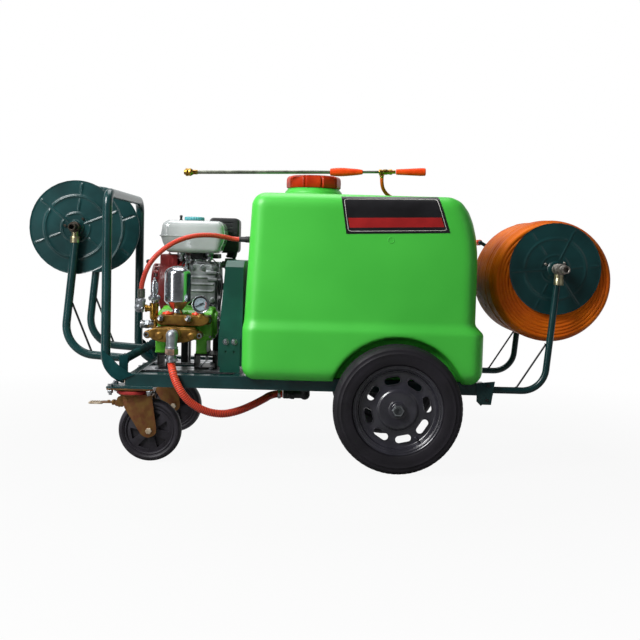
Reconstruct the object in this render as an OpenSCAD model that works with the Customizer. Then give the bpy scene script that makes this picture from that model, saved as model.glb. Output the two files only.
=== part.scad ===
// Wheeled orchard sprayer: a steel cart with a rotomoulded tank, a petrol engine
// that drives a plunger pump by belt, two hose reels and a spray lance.
// X runs along the cart (+X is the tank and full reel end), Y across it,
// Z up from the ground. The origin is on the ground under the middle of the cart.

/* [Frame] */
// Half the width over the outer faces of the side rails
rail_face = 296; // [290:1:298]
// Width and height of the square side rails
rail_size = 40; // [38:1:40]
// Height of the top face of the side rails
rail_top = 280; // [280:1:280]
// Outer diameter of the push handle tube
handle_d = 30; // [26:1:30]
// Height of the centre line of the handle's top bar
handle_z = 845; // [820:5:860]

/* [Tank] */
// Half the width of the tank over its lower band
tank_half_w = 345; // [335:1:346]
// Height of the flat top of the tank
tank_top = 857; // [850:1:857]
// Wall thickness of the moulded tank
tank_wall = 6; // [4:1:8]
// Outer diameter of the screw cap
cap_d = 186; // [180:1:190]

/* [Running gear] */
// Outer diameter of the main tyres
wheel_d = 400; // [396:1:400]
// Width of the main tyres
wheel_w = 90; // [84:1:90]
// Diameter of the axle
axle_d = 25; // [20:1:25]
// Outer diameter of the caster wheels
caster_d = 200; // [196:1:200]
// Width of the caster wheels
caster_w = 48; // [40:1:50]

/* [Reels] */
// Radius of the discs on the empty reel
front_disc_r = 152; // [140:1:152]
// Radius of the discs on the full reel
rear_disc_r = 146; // [140:1:150]
// Outer radius of the wound hose
winding_r = 196; // [180:1:196]

/* [Machinery] */
// Outer radius of the pump pulley
pump_pulley_r = 124.5; // [124.5:0.5:124.5]
// Outer radius of the engine pulley
engine_pulley_r = 34.5; // [34.5:0.5:34.5]
// Outer diameter of the air chamber on the pump
chamber_d = 86; // [80:1:88]

/* [Hidden] */
$fn = 64;
gap = 0.3;
run_fit = 0.05;

teal = "#1f4a47";
steel = "#b9bcc0";
brass = "#a8782e";
rubber = "#2a2830";
lime = "#6cbf3a";
moulded_green = "#47b041";
red_plastic = "#d2381e";
orange_hose = "#d0662a";
red_hose = "#c8392b";
engine_grey = "#8b9092";
black = "#232326";
zinc_gold = "#8a6a34";

rail_wall = 3;
rail_y = rail_face - rail_size / 2;
rail_bottom = rail_top - rail_size;
rail_x0 = -597;
rail_x1 = 528;
deck = rail_top + gap;

axle_x = 255;
wheel_y = 355;
caster_x = -580;
caster_y = 262;
caster_trail = 58;

handle_x = -663;
handle_y = rail_face - handle_d / 2;
handle_bend = 80;
handle_corner = 45;
cross_x = -607;
cross_z = 322;

// ---------------------------------------------------------------- helpers

// A solid bar along Y between two values of y
module bar_y(x, z, y0, y1, r) {
    translate([x, y0, z]) rotate([-90, 0, 0]) cylinder(r = r, h = y1 - y0);
}

// A solid bar along X between two values of x
module bar_x(y, z, x0, x1, r) {
    translate([x0, y, z]) rotate([0, 90, 0]) cylinder(r = r, h = x1 - x0);
}

// A box from its low corner to its high corner
module block(low, high) {
    translate(low) cube(high - low);
}

// The same children on the near side and, mirrored, on the far side
module both_sides() {
    children();
    mirror([0, 1, 0]) children();
}

// An outline drawn in X and Z, extruded along Y between two values of y
module slab_xz(y0, y1) {
    translate([0, y1, 0]) rotate([90, 0, 0]) linear_extrude(y1 - y0) children();
}

// An outline drawn in Y and Z, extruded along X between two values of x
module slab_yz(x0, x1) {
    translate([x0, 0, 0]) rotate([90, 0, 90]) linear_extrude(x1 - x0) children();
}

// One straight length of round bar between two points of a plane y = 0
module rod_xz(a, b, r) {
    d = b - a;
    translate([a[0], 0, a[1]]) rotate([0, 90 - atan2(d[1], d[0]), 0]) cylinder(r = r, h = norm(d));
}

// A tube bent once in the XZ plane: straight from a to the bend at corner c, straight on to b
module bent_bar(a, c, b, bend, r) {
    u = (c - a) / norm(c - a);
    v = (b - c) / norm(b - c);
    turn = acos(u * v);
    side = sign(u[0] * v[1] - u[1] * v[0]);
    reach = bend * tan(turn / 2);
    start = c - reach * u;
    end = c + reach * v;
    centre = start + side * bend * [-u[1], u[0]];
    first = atan2(start[1] - centre[1], start[0] - centre[0]);
    rod_xz(a, start, r);
    rod_xz(end, b, r);
    translate([centre[0], 0, centre[1]]) rotate([90, 0, 0])
        rotate([0, 0, side > 0 ? first : first - turn])
            rotate_extrude(angle = turn) translate([bend, 0]) circle(r);
}

// Vector helpers for the swept hoses
function unit(v) = v / norm(v);
function heading(p, i) = unit(p[min(i + 1, len(p) - 1)] - p[max(i - 1, 0)]);
function square_to(v, t) = unit(v - (v * t) * t);
function normals(p, i, last) = i >= len(p) ? []
    : let (n = square_to(last, heading(p, i))) concat([n], normals(p, i + 1, n));

// A tube of diameter d swept along the points p, with flat ends
module hose(p, d, sides, start_normal) {
    n = normals(p, 0, start_normal);
    rings = [for (i = [0:len(p) - 1]) let (t = heading(p, i), m = cross(t, n[i]))
        for (k = [0:sides - 1]) p[i] + d / 2 * (cos(360 * k / sides) * n[i] + sin(360 * k / sides) * m)];
    walls = [for (i = [0:len(p) - 2]) for (k = [0:sides - 1]) let (j = (k + 1) % sides)
        [i * sides + k, (i + 1) * sides + k, (i + 1) * sides + j, i * sides + j]];
    start_face = [for (k = [0:sides - 1]) k];
    end_face = [for (k = [sides - 1:-1:0]) (len(p) - 1) * sides + k];
    polyhedron(rings, concat([start_face], walls, [end_face]));
}

// ---------------------------------------------------------------- frame

module side_rails() {
    color(teal) both_sides() difference() {
        block([rail_x0, rail_face - rail_size, rail_bottom], [rail_x1, rail_face, rail_top]);
        block([rail_x0 - 1, rail_face - rail_size + rail_wall, rail_bottom + rail_wall],
            [rail_x1 + 1, rail_face - rail_wall, rail_top - rail_wall]);
    }
}

inner_face = rail_face - rail_size - gap;
// Places of the cross members under the tank
member_x = [-205, 120, 390, 495];
member_w = 30;
pad_x = [caster_x - 74, caster_x + 72];
pad_y = [caster_y - 52, caster_y + 50];
pad_t = 5;

// Cross members, the pads for the casters and the brackets that hold the axle
module frame_members() {
    color(teal) {
        for (x = member_x) difference() {
            block([x - member_w / 2, -inner_face, rail_bottom + 2], [x + member_w / 2, inner_face, rail_top - 1]);
            block([x - member_w / 2 + rail_wall, -inner_face - 1, rail_bottom + 2 + rail_wall],
                [x + member_w / 2 - rail_wall, inner_face + 1, rail_top - 1 - rail_wall]);
        }
        both_sides() {
            difference() {
                block([pad_x[0], pad_y[0], rail_bottom - pad_t - gap],
                    [pad_x[1], pad_y[1], rail_bottom - gap]);
                for (dx = [-60, 60]) for (dy = [-42, 42])
                    translate([caster_x - 2 + dx, caster_y + dy, rail_bottom - 20]) cylinder(r = 5.5, h = 30);
            }
            difference() {
                slab_xz(rail_y - 16, rail_y + 16)
                    polygon([[axle_x - 34, wheel_d / 2 + 8], [axle_x - 22, wheel_d / 2 - 20],
                        [axle_x + 22, wheel_d / 2 - 20], [axle_x + 34, wheel_d / 2 + 8],
                        [axle_x + 34, rail_bottom - gap], [axle_x - 34, rail_bottom - gap]]);
                bar_y(axle_x, wheel_d / 2, rail_y - 20, rail_y + 20, axle_d / 2 + run_fit);
            }
        }
    }
}

slat_y = [-142, -84, 76, 134];
slat_w = 50;

// Slatted deck that carries the engine and the pump
module platform() {
    color(teal) {
        for (x = [-590, -262]) difference() {
            block([x, -inner_face, rail_top - 20], [x + 24, inner_face, rail_top]);
            block([x + 4, -inner_face - 1, rail_top - 21], [x + 20, inner_face + 1, rail_top - 4]);
        }
        for (y = slat_y)
            block([-590 + 24 + gap, y - slat_w / 2, rail_top - 8], [-262 - gap, y + slat_w / 2, rail_top]);
    }
}

// U-shaped handle: two legs that rise out of the rails and one bar across the top
module push_handle() {
    color(teal) difference() {
        handle_bars(handle_d / 2, 0);
        handle_bars(handle_d / 2 - 2.5, 1);
    }
}

// The bent run of the handle as a round bar; extra turns its feet on a little further
module handle_bars(r, extra) {
    top_leg = handle_z - handle_corner;
    both_sides() {
        translate([handle_x, handle_y, rail_top + 60]) cylinder(r = r, h = top_leg - rail_top - 60);
        translate([handle_x + handle_bend, handle_y, rail_top + 60]) rotate([90, 0, 0])
            rotate([0, 0, 180]) rotate_extrude(angle = 76 + extra) translate([handle_bend, 0]) circle(r);
        translate([handle_x, handle_y - handle_corner, top_leg]) rotate([90, 0, 90])
            rotate_extrude(angle = 90) translate([handle_corner, 0]) circle(r);
    }
    bar_y(handle_x, handle_z, -handle_y + handle_corner, handle_y - handle_corner, r);
}

// Leaf-shaped gussets between the handle legs and the rails, and the tube across
module handle_braces() {
    color(teal) {
        both_sides() slab_xz(rail_face + gap, rail_face + 4 + gap) intersection() {
            polygon([[-671, 352], [-664, 300], [-640, 268], [-612, 258], [-560, 281], [-600, 300], [-640, 330]]);
            difference() {
                translate([handle_x + handle_bend, rail_top + 60]) circle(r = handle_bend + 12, $fn = 96);
                translate([handle_x + 150, rail_top + 150]) circle(r = 162, $fn = 96);
            }
        }
        bar_y(cross_x, cross_z, -handle_y + 4, handle_y - 4, 14);
        both_sides() slab_xz(handle_y - 4 + gap, handle_y + 2)
            polygon([[-620, 288], [-604, 279.8], [-597.5, 280.4], [-592, 280.4], [-592, 336], [-620, 336]]);
    }
}

// Axle with its washers and hexagon nuts
module axle() {
    outer = wheel_y + wheel_w / 2;
    color(steel) {
        bar_y(axle_x, wheel_d / 2, -outer + 4, outer - 4, axle_d / 2);
        both_sides() {
            translate([axle_x, outer - 17, wheel_d / 2]) rotate([-90, 0, 0]) difference() {
                cylinder(r = 21, h = 3);
                translate([0, 0, -1]) cylinder(r = axle_d / 2, h = 5);
            }
            translate([axle_x, outer - 13.7, wheel_d / 2]) rotate([-90, 30, 0]) difference() {
                cylinder(r = 19, h = 9, $fn = 6);
                translate([0, 0, -1]) cylinder(r = axle_d / 2, h = 12);
            }
        }
    }
}

// ---------------------------------------------------------------- tank

band_x = [-233, 520];
body_x = [-212, 495];
body_foot = -228;
band_z = [273, 433];
step_z = 460;
shoulder_x = 397;
shoulder_z = 640;
cap_x = -25;
neck_r = 82;
boss_z = tank_top + 19;
cap_z = [890, 932];
arch_r = [209, 221];
basket_z = cap_z[1] - 20;

// The moulded outline, drawn in by inset all round: a lower band with a slanted
// step up to a narrower body whose far end rounds over in a long shoulder
module tank_form(inset) {
    r = 44 - inset / 2;
    band_y = tank_half_w - inset - r;
    body_y = tank_half_w - 12 - inset - r;
    x0 = band_x[0] + inset + r;
    x1 = band_x[1] - inset - r;
    foot = body_foot + inset + r;
    head = body_x[0] + inset + r;
    rise_x = body_x[1] - inset - r - shoulder_x + inset;
    rise_z = tank_top - inset - r - shoulder_z;
    hull() {
        for (sy = [-1, 1]) {
            for (x = [x0, x1]) {
                translate([x, sy * band_y, band_z[0] + inset + r]) sphere(r, $fn = 32);
                translate([x, sy * band_y, band_z[1] - 1]) cylinder(r = r, h = 1, $fn = 32);
            }
            for (x = [foot, body_x[1] - inset - r])
                translate([x, sy * body_y, step_z]) cylinder(r = r, h = 1, $fn = 32);
        }
    }
    hull() {
        for (sy = [-1, 1]) {
            for (x = [foot, body_x[1] - inset - r])
                translate([x, sy * body_y, step_z]) cylinder(r = r, h = 1, $fn = 32);
            translate([head, sy * body_y, tank_top - inset - r]) sphere(r, $fn = 32);
            for (a = [0:15:90])
                translate([shoulder_x - inset + rise_x * cos(a), sy * body_y, shoulder_z + rise_z * sin(a)])
                    sphere(r, $fn = 32);
        }
    }
}

// Room for the two main wheels, widened by grow
module wheel_arches(grow) {
    both_sides() translate([axle_x, 290 - grow, wheel_d / 2]) rotate([-90, 0, 0])
        cylinder(r1 = arch_r[0] + grow, r2 = arch_r[1] + grow, h = 60 + grow, $fn = 96);
}

// Room for the side rails under the tank, raised by grow
module rail_channel(grow) {
    block([-300, -rail_face - 7 - grow, 200], [600, rail_face + 7 + grow, rail_top + gap + grow]);
}

module tank() {
    color(moulded_green) difference() {
        union() {
            difference() {
                tank_form(0);
                wheel_arches(0);
                rail_channel(0);
                difference() {
                    tank_form(tank_wall);
                    wheel_arches(tank_wall);
                    rail_channel(tank_wall);
                }
            }
            translate([cap_x, 0, tank_top - 2]) cylinder(r1 = 107, r2 = 96, h = boss_z - tank_top + 2);
            translate([cap_x, 0, boss_z - 1]) cylinder(r = neck_r, h = cap_z[1] - 6 - gap - boss_z + 1);
        }
        translate([cap_x, 0, tank_top - 20]) cylinder(r = neck_r - 6, h = 120);
        translate([cap_x, 0, basket_z]) cylinder(r = neck_r - 3, h = 30);
    }
}

// Screw cap with ten rounded lobes and a hollow underside
module tank_cap() {
    color(red_plastic) translate([cap_x, 0, 0]) difference() {
        union() {
            translate([0, 0, cap_z[0]]) cylinder(r = cap_d / 2 - 5, h = cap_z[1] - cap_z[0]);
            for (a = [0:36:324]) rotate([0, 0, a]) translate([cap_d / 2 - 22, 0, cap_z[0]])
                cylinder(r = 22, h = cap_z[1] - cap_z[0] - 3);
        }
        translate([0, 0, cap_z[0] - 1]) cylinder(r = neck_r + 2, h = cap_z[1] - cap_z[0] - 5);
    }
}

port_z = 204;
port_x = -36;
port_y = -120;
return_port = [-217.3, -40, 712];

// Strainer basket in the neck, suction elbow under the tank and return stub in its end wall
module tank_fittings() {
    color(black) {
        translate([cap_x, 0, 0]) difference() {
            union() {
                translate([0, 0, 790]) cylinder(r = 66, h = basket_z + 3 - 790);
                translate([0, 0, basket_z + gap]) cylinder(r = neck_r - 3 - gap, h = 3 - gap);
            }
            translate([0, 0, 793]) cylinder(r = 64, h = 140);
        }
        difference() {
            translate([port_x, port_y, port_z]) cylinder(r = 17, h = rail_top - port_z);
            translate([port_x, port_y, port_z]) cylinder(r = 9, h = rail_top - port_z + 1);
        }
        translate([port_x, port_y, port_z]) sphere(17);
        bar_x(port_y, port_z, port_x - 44, port_x, 13);
        bar_x(port_y, port_z, port_x - 72, port_x - 40, 15);
        bar_x(return_port[1], return_port[2], -236, return_port[0] - gap, 12);
        bar_x(return_port[1], return_port[2], -270, -232, 8);
    }
}

// ---------------------------------------------------------------- engine

crank_y = 130;
crank_z = 546;
base_z = 440;
pulley_x = -284;
pump_shaft_y = -60;
pump_shaft_z = 430;

// Crankcase with its mounting flange, side cover, ribs and bolt lugs
module engine_block() {
    color(engine_grey) {
        difference() {
            union() {
                block([-452, 66, base_z + 10], [-352, 214, 632]);
                block([-464, 52, base_z], [-340, 228, base_z + 10]);
            }
            bar_x(crank_y, crank_z, -480, -330, 12.5 + run_fit);
        }
        slab_xz(58, 66) difference() {
            polygon([[-446, 500], [-432, 486], [-372, 486], [-358, 500], [-358, 612], [-370, 626], [-436, 626],
                [-446, 612]]);
            translate([-374, 598]) circle(4);
            translate([-434, 598]) circle(4);
        }
        for (x = [-438, -402, -366]) for (z = [500, 612]) bar_y(x, z, 50, 58, 7);
        for (z = [528, 552, 576]) block([-440, 54, z], [-364, 58, z + 4]);
        difference() {
            bar_x(crank_y, crank_z, -352, -345, 34);
            bar_x(crank_y, crank_z, -360, -340, 12.5 + run_fit);
        }
    }
}

// Finned barrel and head, leaning away from the crankcase
module cylinder_block() {
    color(engine_grey) difference() {
        translate([-402, 216, 545]) rotate([25, 0, 0]) {
            block([-34, 0, -34], [34, 88, 34]);
            for (y = [6:10:76]) block([-46, y, -46], [46, y + 4, 46]);
            block([-40, 88, -40], [40, 104, 40]);
            block([-14, 104, -14], [14, 112, 14]);
        }
        block([-470, 40, 400], [-330, 214, 640]);
        block([-470, 40, 400], [-330, 228 + gap, base_z + 10]);
    }
}

// Blower housing round the flywheel and the recoil starter on its face
module fan_shroud() {
    color(red_plastic) {
        difference() {
            union() {
                bar_x(crank_y, crank_z, -552, -466, 98);
                block([-552, 60, 560], [-490, 214, 656]);
            }
            bar_x(crank_y, crank_z, -548, -465, 92);
            block([-548, 66, 560], [-489, 208, 650]);
            block([-500, 20, 440], [-460, 55, 700]);
        }
        difference() {
            bar_x(crank_y, crank_z, -582, -552, 76);
            bar_x(crank_y, crank_z, -578, -551, 71);
            for (a = [0:15:345]) translate([0, crank_y, crank_z]) rotate([a, 0, 0])
                block([-590, -4, 38], [-575, 4, 62]);
        }
    }
}

// Grip of the starter cord
module recoil_handle() {
    color(black) {
        translate([-592, 78, 628]) rotate([90, 0, 0]) translate([0, 0, -22]) cylinder(r = 8, h = 44);
        translate([-592, 78, 606]) cylinder(r = 5, h = 22);
    }
}

tank_lo = [-552, 15, 662];
tank_hi = [-322, 200, 774];

// Pressed fuel tank: two shells that meet at a seam flange
module fuel_tank() {
    seam = 719;
    color("#e6e8ea") {
        hull() for (x = [tank_lo[0] + 34, tank_hi[0] - 34]) for (y = [tank_lo[1] + 30, tank_hi[1] - 30]) {
            translate([x, y, tank_hi[2] - 26]) sphere(26, $fn = 32);
            translate([x, y, seam]) cylinder(r = 30, h = 1, $fn = 32);
            translate([x + (x < -440 ? 4 : -4), y, tank_lo[2] + 20]) sphere(20, $fn = 32);
        }
        for (x = [-478, -380]) bar_z([x, 60], 632 + gap, tank_lo[2] + 4, 9);
        translate([-481, 62, tank_hi[2] - 4]) cylinder(r = 5, h = 12);
    }
    color("#e6e8ea") hull() for (x = [tank_lo[0] + 31, tank_hi[0] - 31])
        for (y = [tank_lo[1] + 31, tank_hi[1] - 31])
            translate([x, y, seam - 2]) cylinder(r = 31, h = 4, $fn = 32);
}

// A solid bar along Z between two heights
module bar_z(p, z0, z1, r) {
    translate([p[0], p[1], z0]) cylinder(r = r, h = z1 - z0);
}

module fuel_cap() {
    color("#3f8f94") {
        bar_z([-441, 112], tank_hi[2] + gap, tank_hi[2] + 13, 34);
        for (a = [0:30:330]) translate([-441, 112, tank_hi[2] + 1]) rotate([0, 0, a]) translate([32, 0, 0])
            cylinder(r = 4, h = 11);
    }
}

// Air filter box behind the fuel tank
module air_filter() {
    color(black) {
        hull() for (x = [-386, -306]) for (z = [678, 776]) bar_y(x, z, 205, 307, 14, $fn = 32);
        block([-340, 222, 646], [-306, 262, 670]);
    }
}

module carburettor() {
    color(engine_grey) {
        block([-344, 226, 600], [-304, 258, 646 - gap]);
        bar_z([-324, 242], 572, 600, 17);
        bar_x(242, 622, -355, -344, 13);
    }
}

// Exhaust silencer with its heat shield
module muffler() {
    color("#8a8680") {
        hull() for (x = [-486, -426]) for (z = [664, 706])
            bar_y(x, z, 222, 318, 20, $fn = 32);
        for (x = [-474, -450, -426]) block([x - 5, 319, 656], [x + 5, 323, 714]);
        bar_z([-452, 262], 628, 646, 12);
    }
}

throttle_pivot = [-458, 46, 614];

// Speed lever on the engine's near side
module throttle_lever() {
    color(steel) {
        bar_y(throttle_pivot[0], throttle_pivot[2], throttle_pivot[1] - 8, throttle_pivot[1] + 3, 7);
        block([throttle_pivot[0] - 3, throttle_pivot[1] - 3, throttle_pivot[2]],
            [throttle_pivot[0] + 3, throttle_pivot[1], throttle_pivot[2] + 36]);
        bar_y(throttle_pivot[0], throttle_pivot[2] + 36, throttle_pivot[1] - 14, throttle_pivot[1], 5);
    }
}

belt_x = [-12, 6];
belt_w = 12;

// Two-groove pulley of outer radius r round the X axis, centred on x = 0
module grooved_pulley(r, bore) {
    rotate([0, 90, 0]) difference() {
        translate([0, 0, -17]) cylinder(r = r, h = 34);
        for (x = belt_x) rotate_extrude() translate([0, x + 3])
            polygon([[r - 9, -5], [r + 1, -7], [r + 1, 7], [r - 9, 5]]);
        translate([0, 0, -20]) cylinder(r = bore, h = 40);
    }
}

// Engine pulley on the end of the crankshaft
module engine_pulley() {
    color("#4a4d50") {
        translate([pulley_x, crank_y, crank_z]) grooved_pulley(engine_pulley_r, 12.5);
        bar_x(crank_y, crank_z, -470, pulley_x + 24, 12.5);
    }
}

// Pump pulley, dished on both faces, on the pump's crankshaft
module pump_pulley() {
    color("#4a4d50") {
        translate([pulley_x, pump_shaft_y, pump_shaft_z]) difference() {
            grooved_pulley(pump_pulley_r, 12);
            for (x = [-18, 13]) rotate([0, 90, 0]) translate([0, 0, x]) difference() {
                cylinder(r = pump_pulley_r - 22, h = 5);
                translate([0, 0, -1]) cylinder(r = 30, h = 7);
            }
        }
        bar_x(pump_shaft_y, pump_shaft_z, -545, pulley_x + 24, 12);
    }
}

// One V-belt of the pair, as the band between two outlines round both pulleys
module belt_outline(extra) {
    hull() {
        translate([crank_y, crank_z]) circle(engine_pulley_r + extra, $fn = 48);
        translate([pump_shaft_y, pump_shaft_z]) circle(pump_pulley_r + extra, $fn = 96);
    }
}

module drive_belts() {
    color(black) for (x = belt_x)
        slab_yz(pulley_x + x + 3 - 4.5, pulley_x + x + 3 + 4.5) difference() {
            belt_outline(-0.5);
            belt_outline(-8.4);
        }
}

guard_x = [-318, -241];
guard_t = 2.5;
guard_rim = [[-195, 300], [-195, 621], [-160, 641], [180, 641], [205, 622], [205, 500], [70, 300]];
guard_inside = [[-192.5, 302.5], [-192.5, 619.7], [-159.3, 638.5], [179.2, 638.5], [202.5, 620.8],
    [202.5, 501], [68.9, 302.5]];

// Sheet guard over both pulleys: a closed back, a rim, and a foot bolted to the deck
module belt_guard() {
    color(teal) {
        difference() {
            slab_yz(guard_x[0], guard_x[1]) polygon(guard_rim);
            slab_yz(guard_x[0] - 1, guard_x[1] - guard_t) polygon(guard_inside);
            slab_xz(-200, 210) polygon([[-330, 384], [-318, 384], [-298, 645], [-330, 645]]);
        }
        difference() {
            block([-312, -198 - gap, deck], [-247, -195 - gap, 392]);
            for (x = [-293, -266]) bar_y(x, 347, -200, -190, 4);
        }
        for (x = [-293, -266]) translate([x, -198 - gap, 380]) rotate([90, 0, 0]) cylinder(r = 8, h = 5);
    }
}

// ---------------------------------------------------------------- pump

module pump_crankcase() {
    color(lime) {
        difference() {
            union() {
                slab_yz(-520, -344) polygon([[-128, 385], [-128, 462], [-104, 478], [-20, 482], [8, 462],
                    [14, 385], [-6, 374], [-110, 374]]);
                bar_x(pump_shaft_y, pump_shaft_z, -532, -334, 40);
                for (x = [-492, -366]) bar_z([x, -70], 380, 484, 26);
            }
            bar_x(pump_shaft_y, pump_shaft_z, -540, -325, 12 + run_fit);
        }
        for (x = [[-534, -500], [-400, -364]]) block([x[0], -118, 330], [x[1], 4, 374]);
    }
}

// Black stands: two plates under the pump's feet and four posts with a shelf under the engine
module machine_stands() {
    color(black) {
        for (x = [[-526, -492], [-404, -330]]) difference() {
            block([x[0], -124, deck], [x[1], 10, 330 - gap]);
            block([x[0] + 5, -125, deck + 6], [x[1] - 5, 11, 330 - gap - 6]);
        }
        for (x = [-462, -352]) for (y = [76, 140])
            block([x - 12, y - 12, deck], [x + 12, y + 12, base_z - 8]);
        difference() {
            block([-482, 40, base_z - 8], [-332, 234, base_z - gap]);
            block([-440, 80, base_z - 9], [-374, 190, base_z]);
        }
    }
}

// Lower brass manifold: the suction side, with a bolt lug at each end
module suction_manifold() {
    color(brass) difference() {
        union() {
            slab_xz(-236, -170) polygon([[-540, 412], [-534, 388], [-508, 378], [-458, 373], [-412, 378],
                [-386, 388], [-380, 412], [-398, 421], [-522, 421]]);
            for (x = [-542, -380]) bar_y(x, 399, -228, -178, 13);
            bar_y(-456, 402, -246, -235, 22);
            bar_x(-153, 402, -520, -400, 20);
        }
        for (x = [-546, -376]) bar_y(x, 399, -240, -170, 4);
        bar_x(-172, 428, -575, -525, 13 + gap);
    }
}

// Upper brass manifold: the delivery side, with valve caps along its top
module delivery_manifold() {
    color(brass) {
        difference() {
            slab_xz(-208, -130) polygon([[-520, 440], [-508, 428], [-372, 428], [-352, 436], [-346, 452],
                [-362, 462], [-508, 462], [-520, 456]]);
            bar_z([-530, -175], 420, 470, 14 + gap);
        }
        for (x = [-489, -394]) bar_z([x, -186], 462, 469, 13);
        for (x = [-503, -414]) bar_y(x, 449, -222, -208, 10);
        bar_z([-456, -165], 462, 466, 20);
        bar_z([-376, -194], 460, 469, 11);
    }
}

// Chrome air chamber: bullet-shaped, standing on a cone and a neck
module air_chamber() {
    r = chamber_d / 2;
    color("#c8ccd0") translate([-456, -165, 0]) rotate_extrude() polygon(concat(
        [[0, 466.3], [17, 466.3], [17, 476], [r - 3, 502], [r, 508], [r, 592]],
        [for (a = [10:10:80]) [r * cos(a), 592 + 28 * sin(a)]], [[0, 620]]));
}

gauge_at = [-376, -205, 499];

// Round pressure gauge with its stem
module gauge_case() {
    color(steel) {
        translate(gauge_at) rotate([90, 0, 0]) difference() {
            translate([0, 0, -22]) cylinder(r = 29, h = 24);
            translate([0, 0, -2]) cylinder(r = 26, h = 5);
        }
        bar_z([-376, -194], 469 + gap, 478, 6);
        translate([gauge_at[0], gauge_at[1], gauge_at[2]]) rotate([90, 0, 0]) translate([0, 0, -2.5])
            cylinder(r = 1.5, h = 4);
    }
}

module gauge_needle() {
    color(black) translate([gauge_at[0], gauge_at[1] - 0.6, gauge_at[2]]) rotate([90, 0, 0]) difference() {
        rotate([0, 0, 27]) union() {
            translate([-22, -1, 0]) cube([30, 2, 0.8]);
            cylinder(r = 3.5, h = 1);
        }
        translate([0, 0, -1]) cylinder(r = 1.5 + run_fit, h = 3);
    }
}

// Brass body of the pressure relief valve
module relief_valve() {
    color(brass) {
        bar_z([-530, -175], 442, 498, 14);
        bar_x(-175, 480, -559.6, -530, 10);
        block([-527.7, -186, 421.4], [-520.3, -158, 444]);
    }
}

// Chrome spring housing that screws down to set the pressure, with its stem
module pressure_knob() {
    color("#c8ccd0") {
        bar_z([-530, -175], 498 + gap, 532, 8);
        bar_z([-530, -175], 530, 562, 10);
        bar_z([-530, -175], 562, 570, 7);
        bar_z([-530, -175], 570, 580, 4);
    }
}

// Forked release lever hooked round the spring housing
module relief_lever() {
    color(steel) difference() {
        union() {
            for (x = [-546, -520]) block([x, -184, 506], [x + 6, -166, 524]);
            block([-546, -190, 508], [-514, -186, 520]);
            block([-546, -188, 508], [-540, -176, 520]);
            block([-520, -188, 508], [-514, -176, 520]);
            block([-534, -214, 510], [-526, -188, 516]);
        }
        bar_z([-530, -175], 490, 540, 10.4);
    }
}

// Zinc elbow and barb that carry the return hose
module return_elbow() {
    color(steel) {
        translate([-578, -175, 482]) sphere(16);
        bar_z([-574, -175], 484, 512, 14);
        bar_z([-572, -175], 512, 537, 9);
    }
}

// Capped outlet at the end of the delivery manifold
module outlet_cock() {
    color("#c8ccd0") {
        bar_x(-172, 428, -568, -528, 13);
        bar_x(-172, 428, -574, -568, 9);
    }
}

inlet = [-455, -282];

// Zinc elbow, union nut and clamp on the suction side
module inlet_elbow() {
    color(steel) {
        bar_y(-456, 402, inlet[1], -246 - gap, 17);
        translate([inlet[0], inlet[1], 402]) sphere(19);
        bar_z(inlet, 362, 402, 17);
        translate([inlet[0], inlet[1], 342]) cylinder(r = 21, h = 20, $fn = 6);
        bar_z(inlet, 318, 342, 15);
    }
}

// ---------------------------------------------------------------- casters

// Top plates, ball races and kingpins of both casters, with their bolts
module caster_plates() {
    plate_top = rail_bottom - pad_t - 2 * gap;
    color(zinc_gold) both_sides() translate([caster_x, caster_y, 0]) {
        translate([-74, -52, plate_top - 5]) cube([146, 102, 5]);
        translate([0, 0, 218]) cylinder(r = 47, h = plate_top - 5 - 218);
        translate([0, 0, 203]) cylinder(r = 6, h = 20);
        translate([0, 0, 199]) cylinder(r = 10, h = 5);
        for (dx = [-62, 58]) for (dy = [-42, 42]) translate([dx, dy, 0]) {
            translate([0, 0, plate_top - 16]) cylinder(r = 5.3, h = dx < 0 ? 30 : 16);
            translate([0, 0, plate_top - 15]) cylinder(r = 9, h = 10 - gap, $fn = 6);
        }
    }
}

// Fork of one caster: a top plate, two tapering cheeks and the wheel bolt
module fork() {
    axle = [caster_x + caster_trail, caster_d / 2];
    half = caster_w / 2 + 4;
    color(zinc_gold) translate([0, caster_y, 0]) {
        difference() {
            union() {
                translate([caster_x, 0, 209]) cylinder(r = 44, h = 8.7);
                for (s = [-1, 1]) translate([0, s * half, 0]) slab_xz(-2, 2) union() {
                    translate(axle) circle(24);
                    polygon([[caster_x - 22, 209], [caster_x - 22, 176], [axle[0] - 19, axle[1] - 15],
                        [axle[0] + 24, axle[1]], [axle[0] + 6, 209]]);
                }
                block([caster_x - 22, -half + 2, 205], [axle[0] + 6, half - 2, 213]);
            }
            translate([caster_x, 0, 190]) cylinder(r = 6 + run_fit, h = 40);
            translate([caster_x, 0, 190]) cylinder(r = 11, h = 18);
        }
        bar_y(axle[0], axle[1], -half - 8, half + 8, 6);
        for (s = [-1, 1]) translate([axle[0], s * (half + 2), axle[1]]) rotate([-90 * s, 0, 0])
            cylinder(r = 10.5, h = 6, $fn = 6);
        for (s = [-1, 1]) translate([0, s * 22, 0])
            block([caster_x - 52, -3, 178], [caster_x - 22, 3, 208]);
        bar_y(caster_x - 46, 184, -22, 22, 5);
    }
}

// Solid rubber wheel of one caster, with a spoked centre
module caster_wheel() {
    axle = [caster_x + caster_trail, caster_d / 2];
    color(rubber) translate([axle[0], caster_y, axle[1]]) rotate([90, 0, 0]) difference() {
        union() {
            rotate_extrude() polygon([[70, -18], [84, -24], [92, -24], [98, -16], [100, -6], [100, 6],
                [98, 16], [92, 24], [84, 24], [70, 18]]);
            translate([0, 0, -8]) cylinder(r = 72, h = 16);
            translate([0, 0, -24]) cylinder(r = 22, h = 48);
        }
        translate([0, 0, -30]) cylinder(r = 6 + run_fit, h = 60);
    }
}

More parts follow.
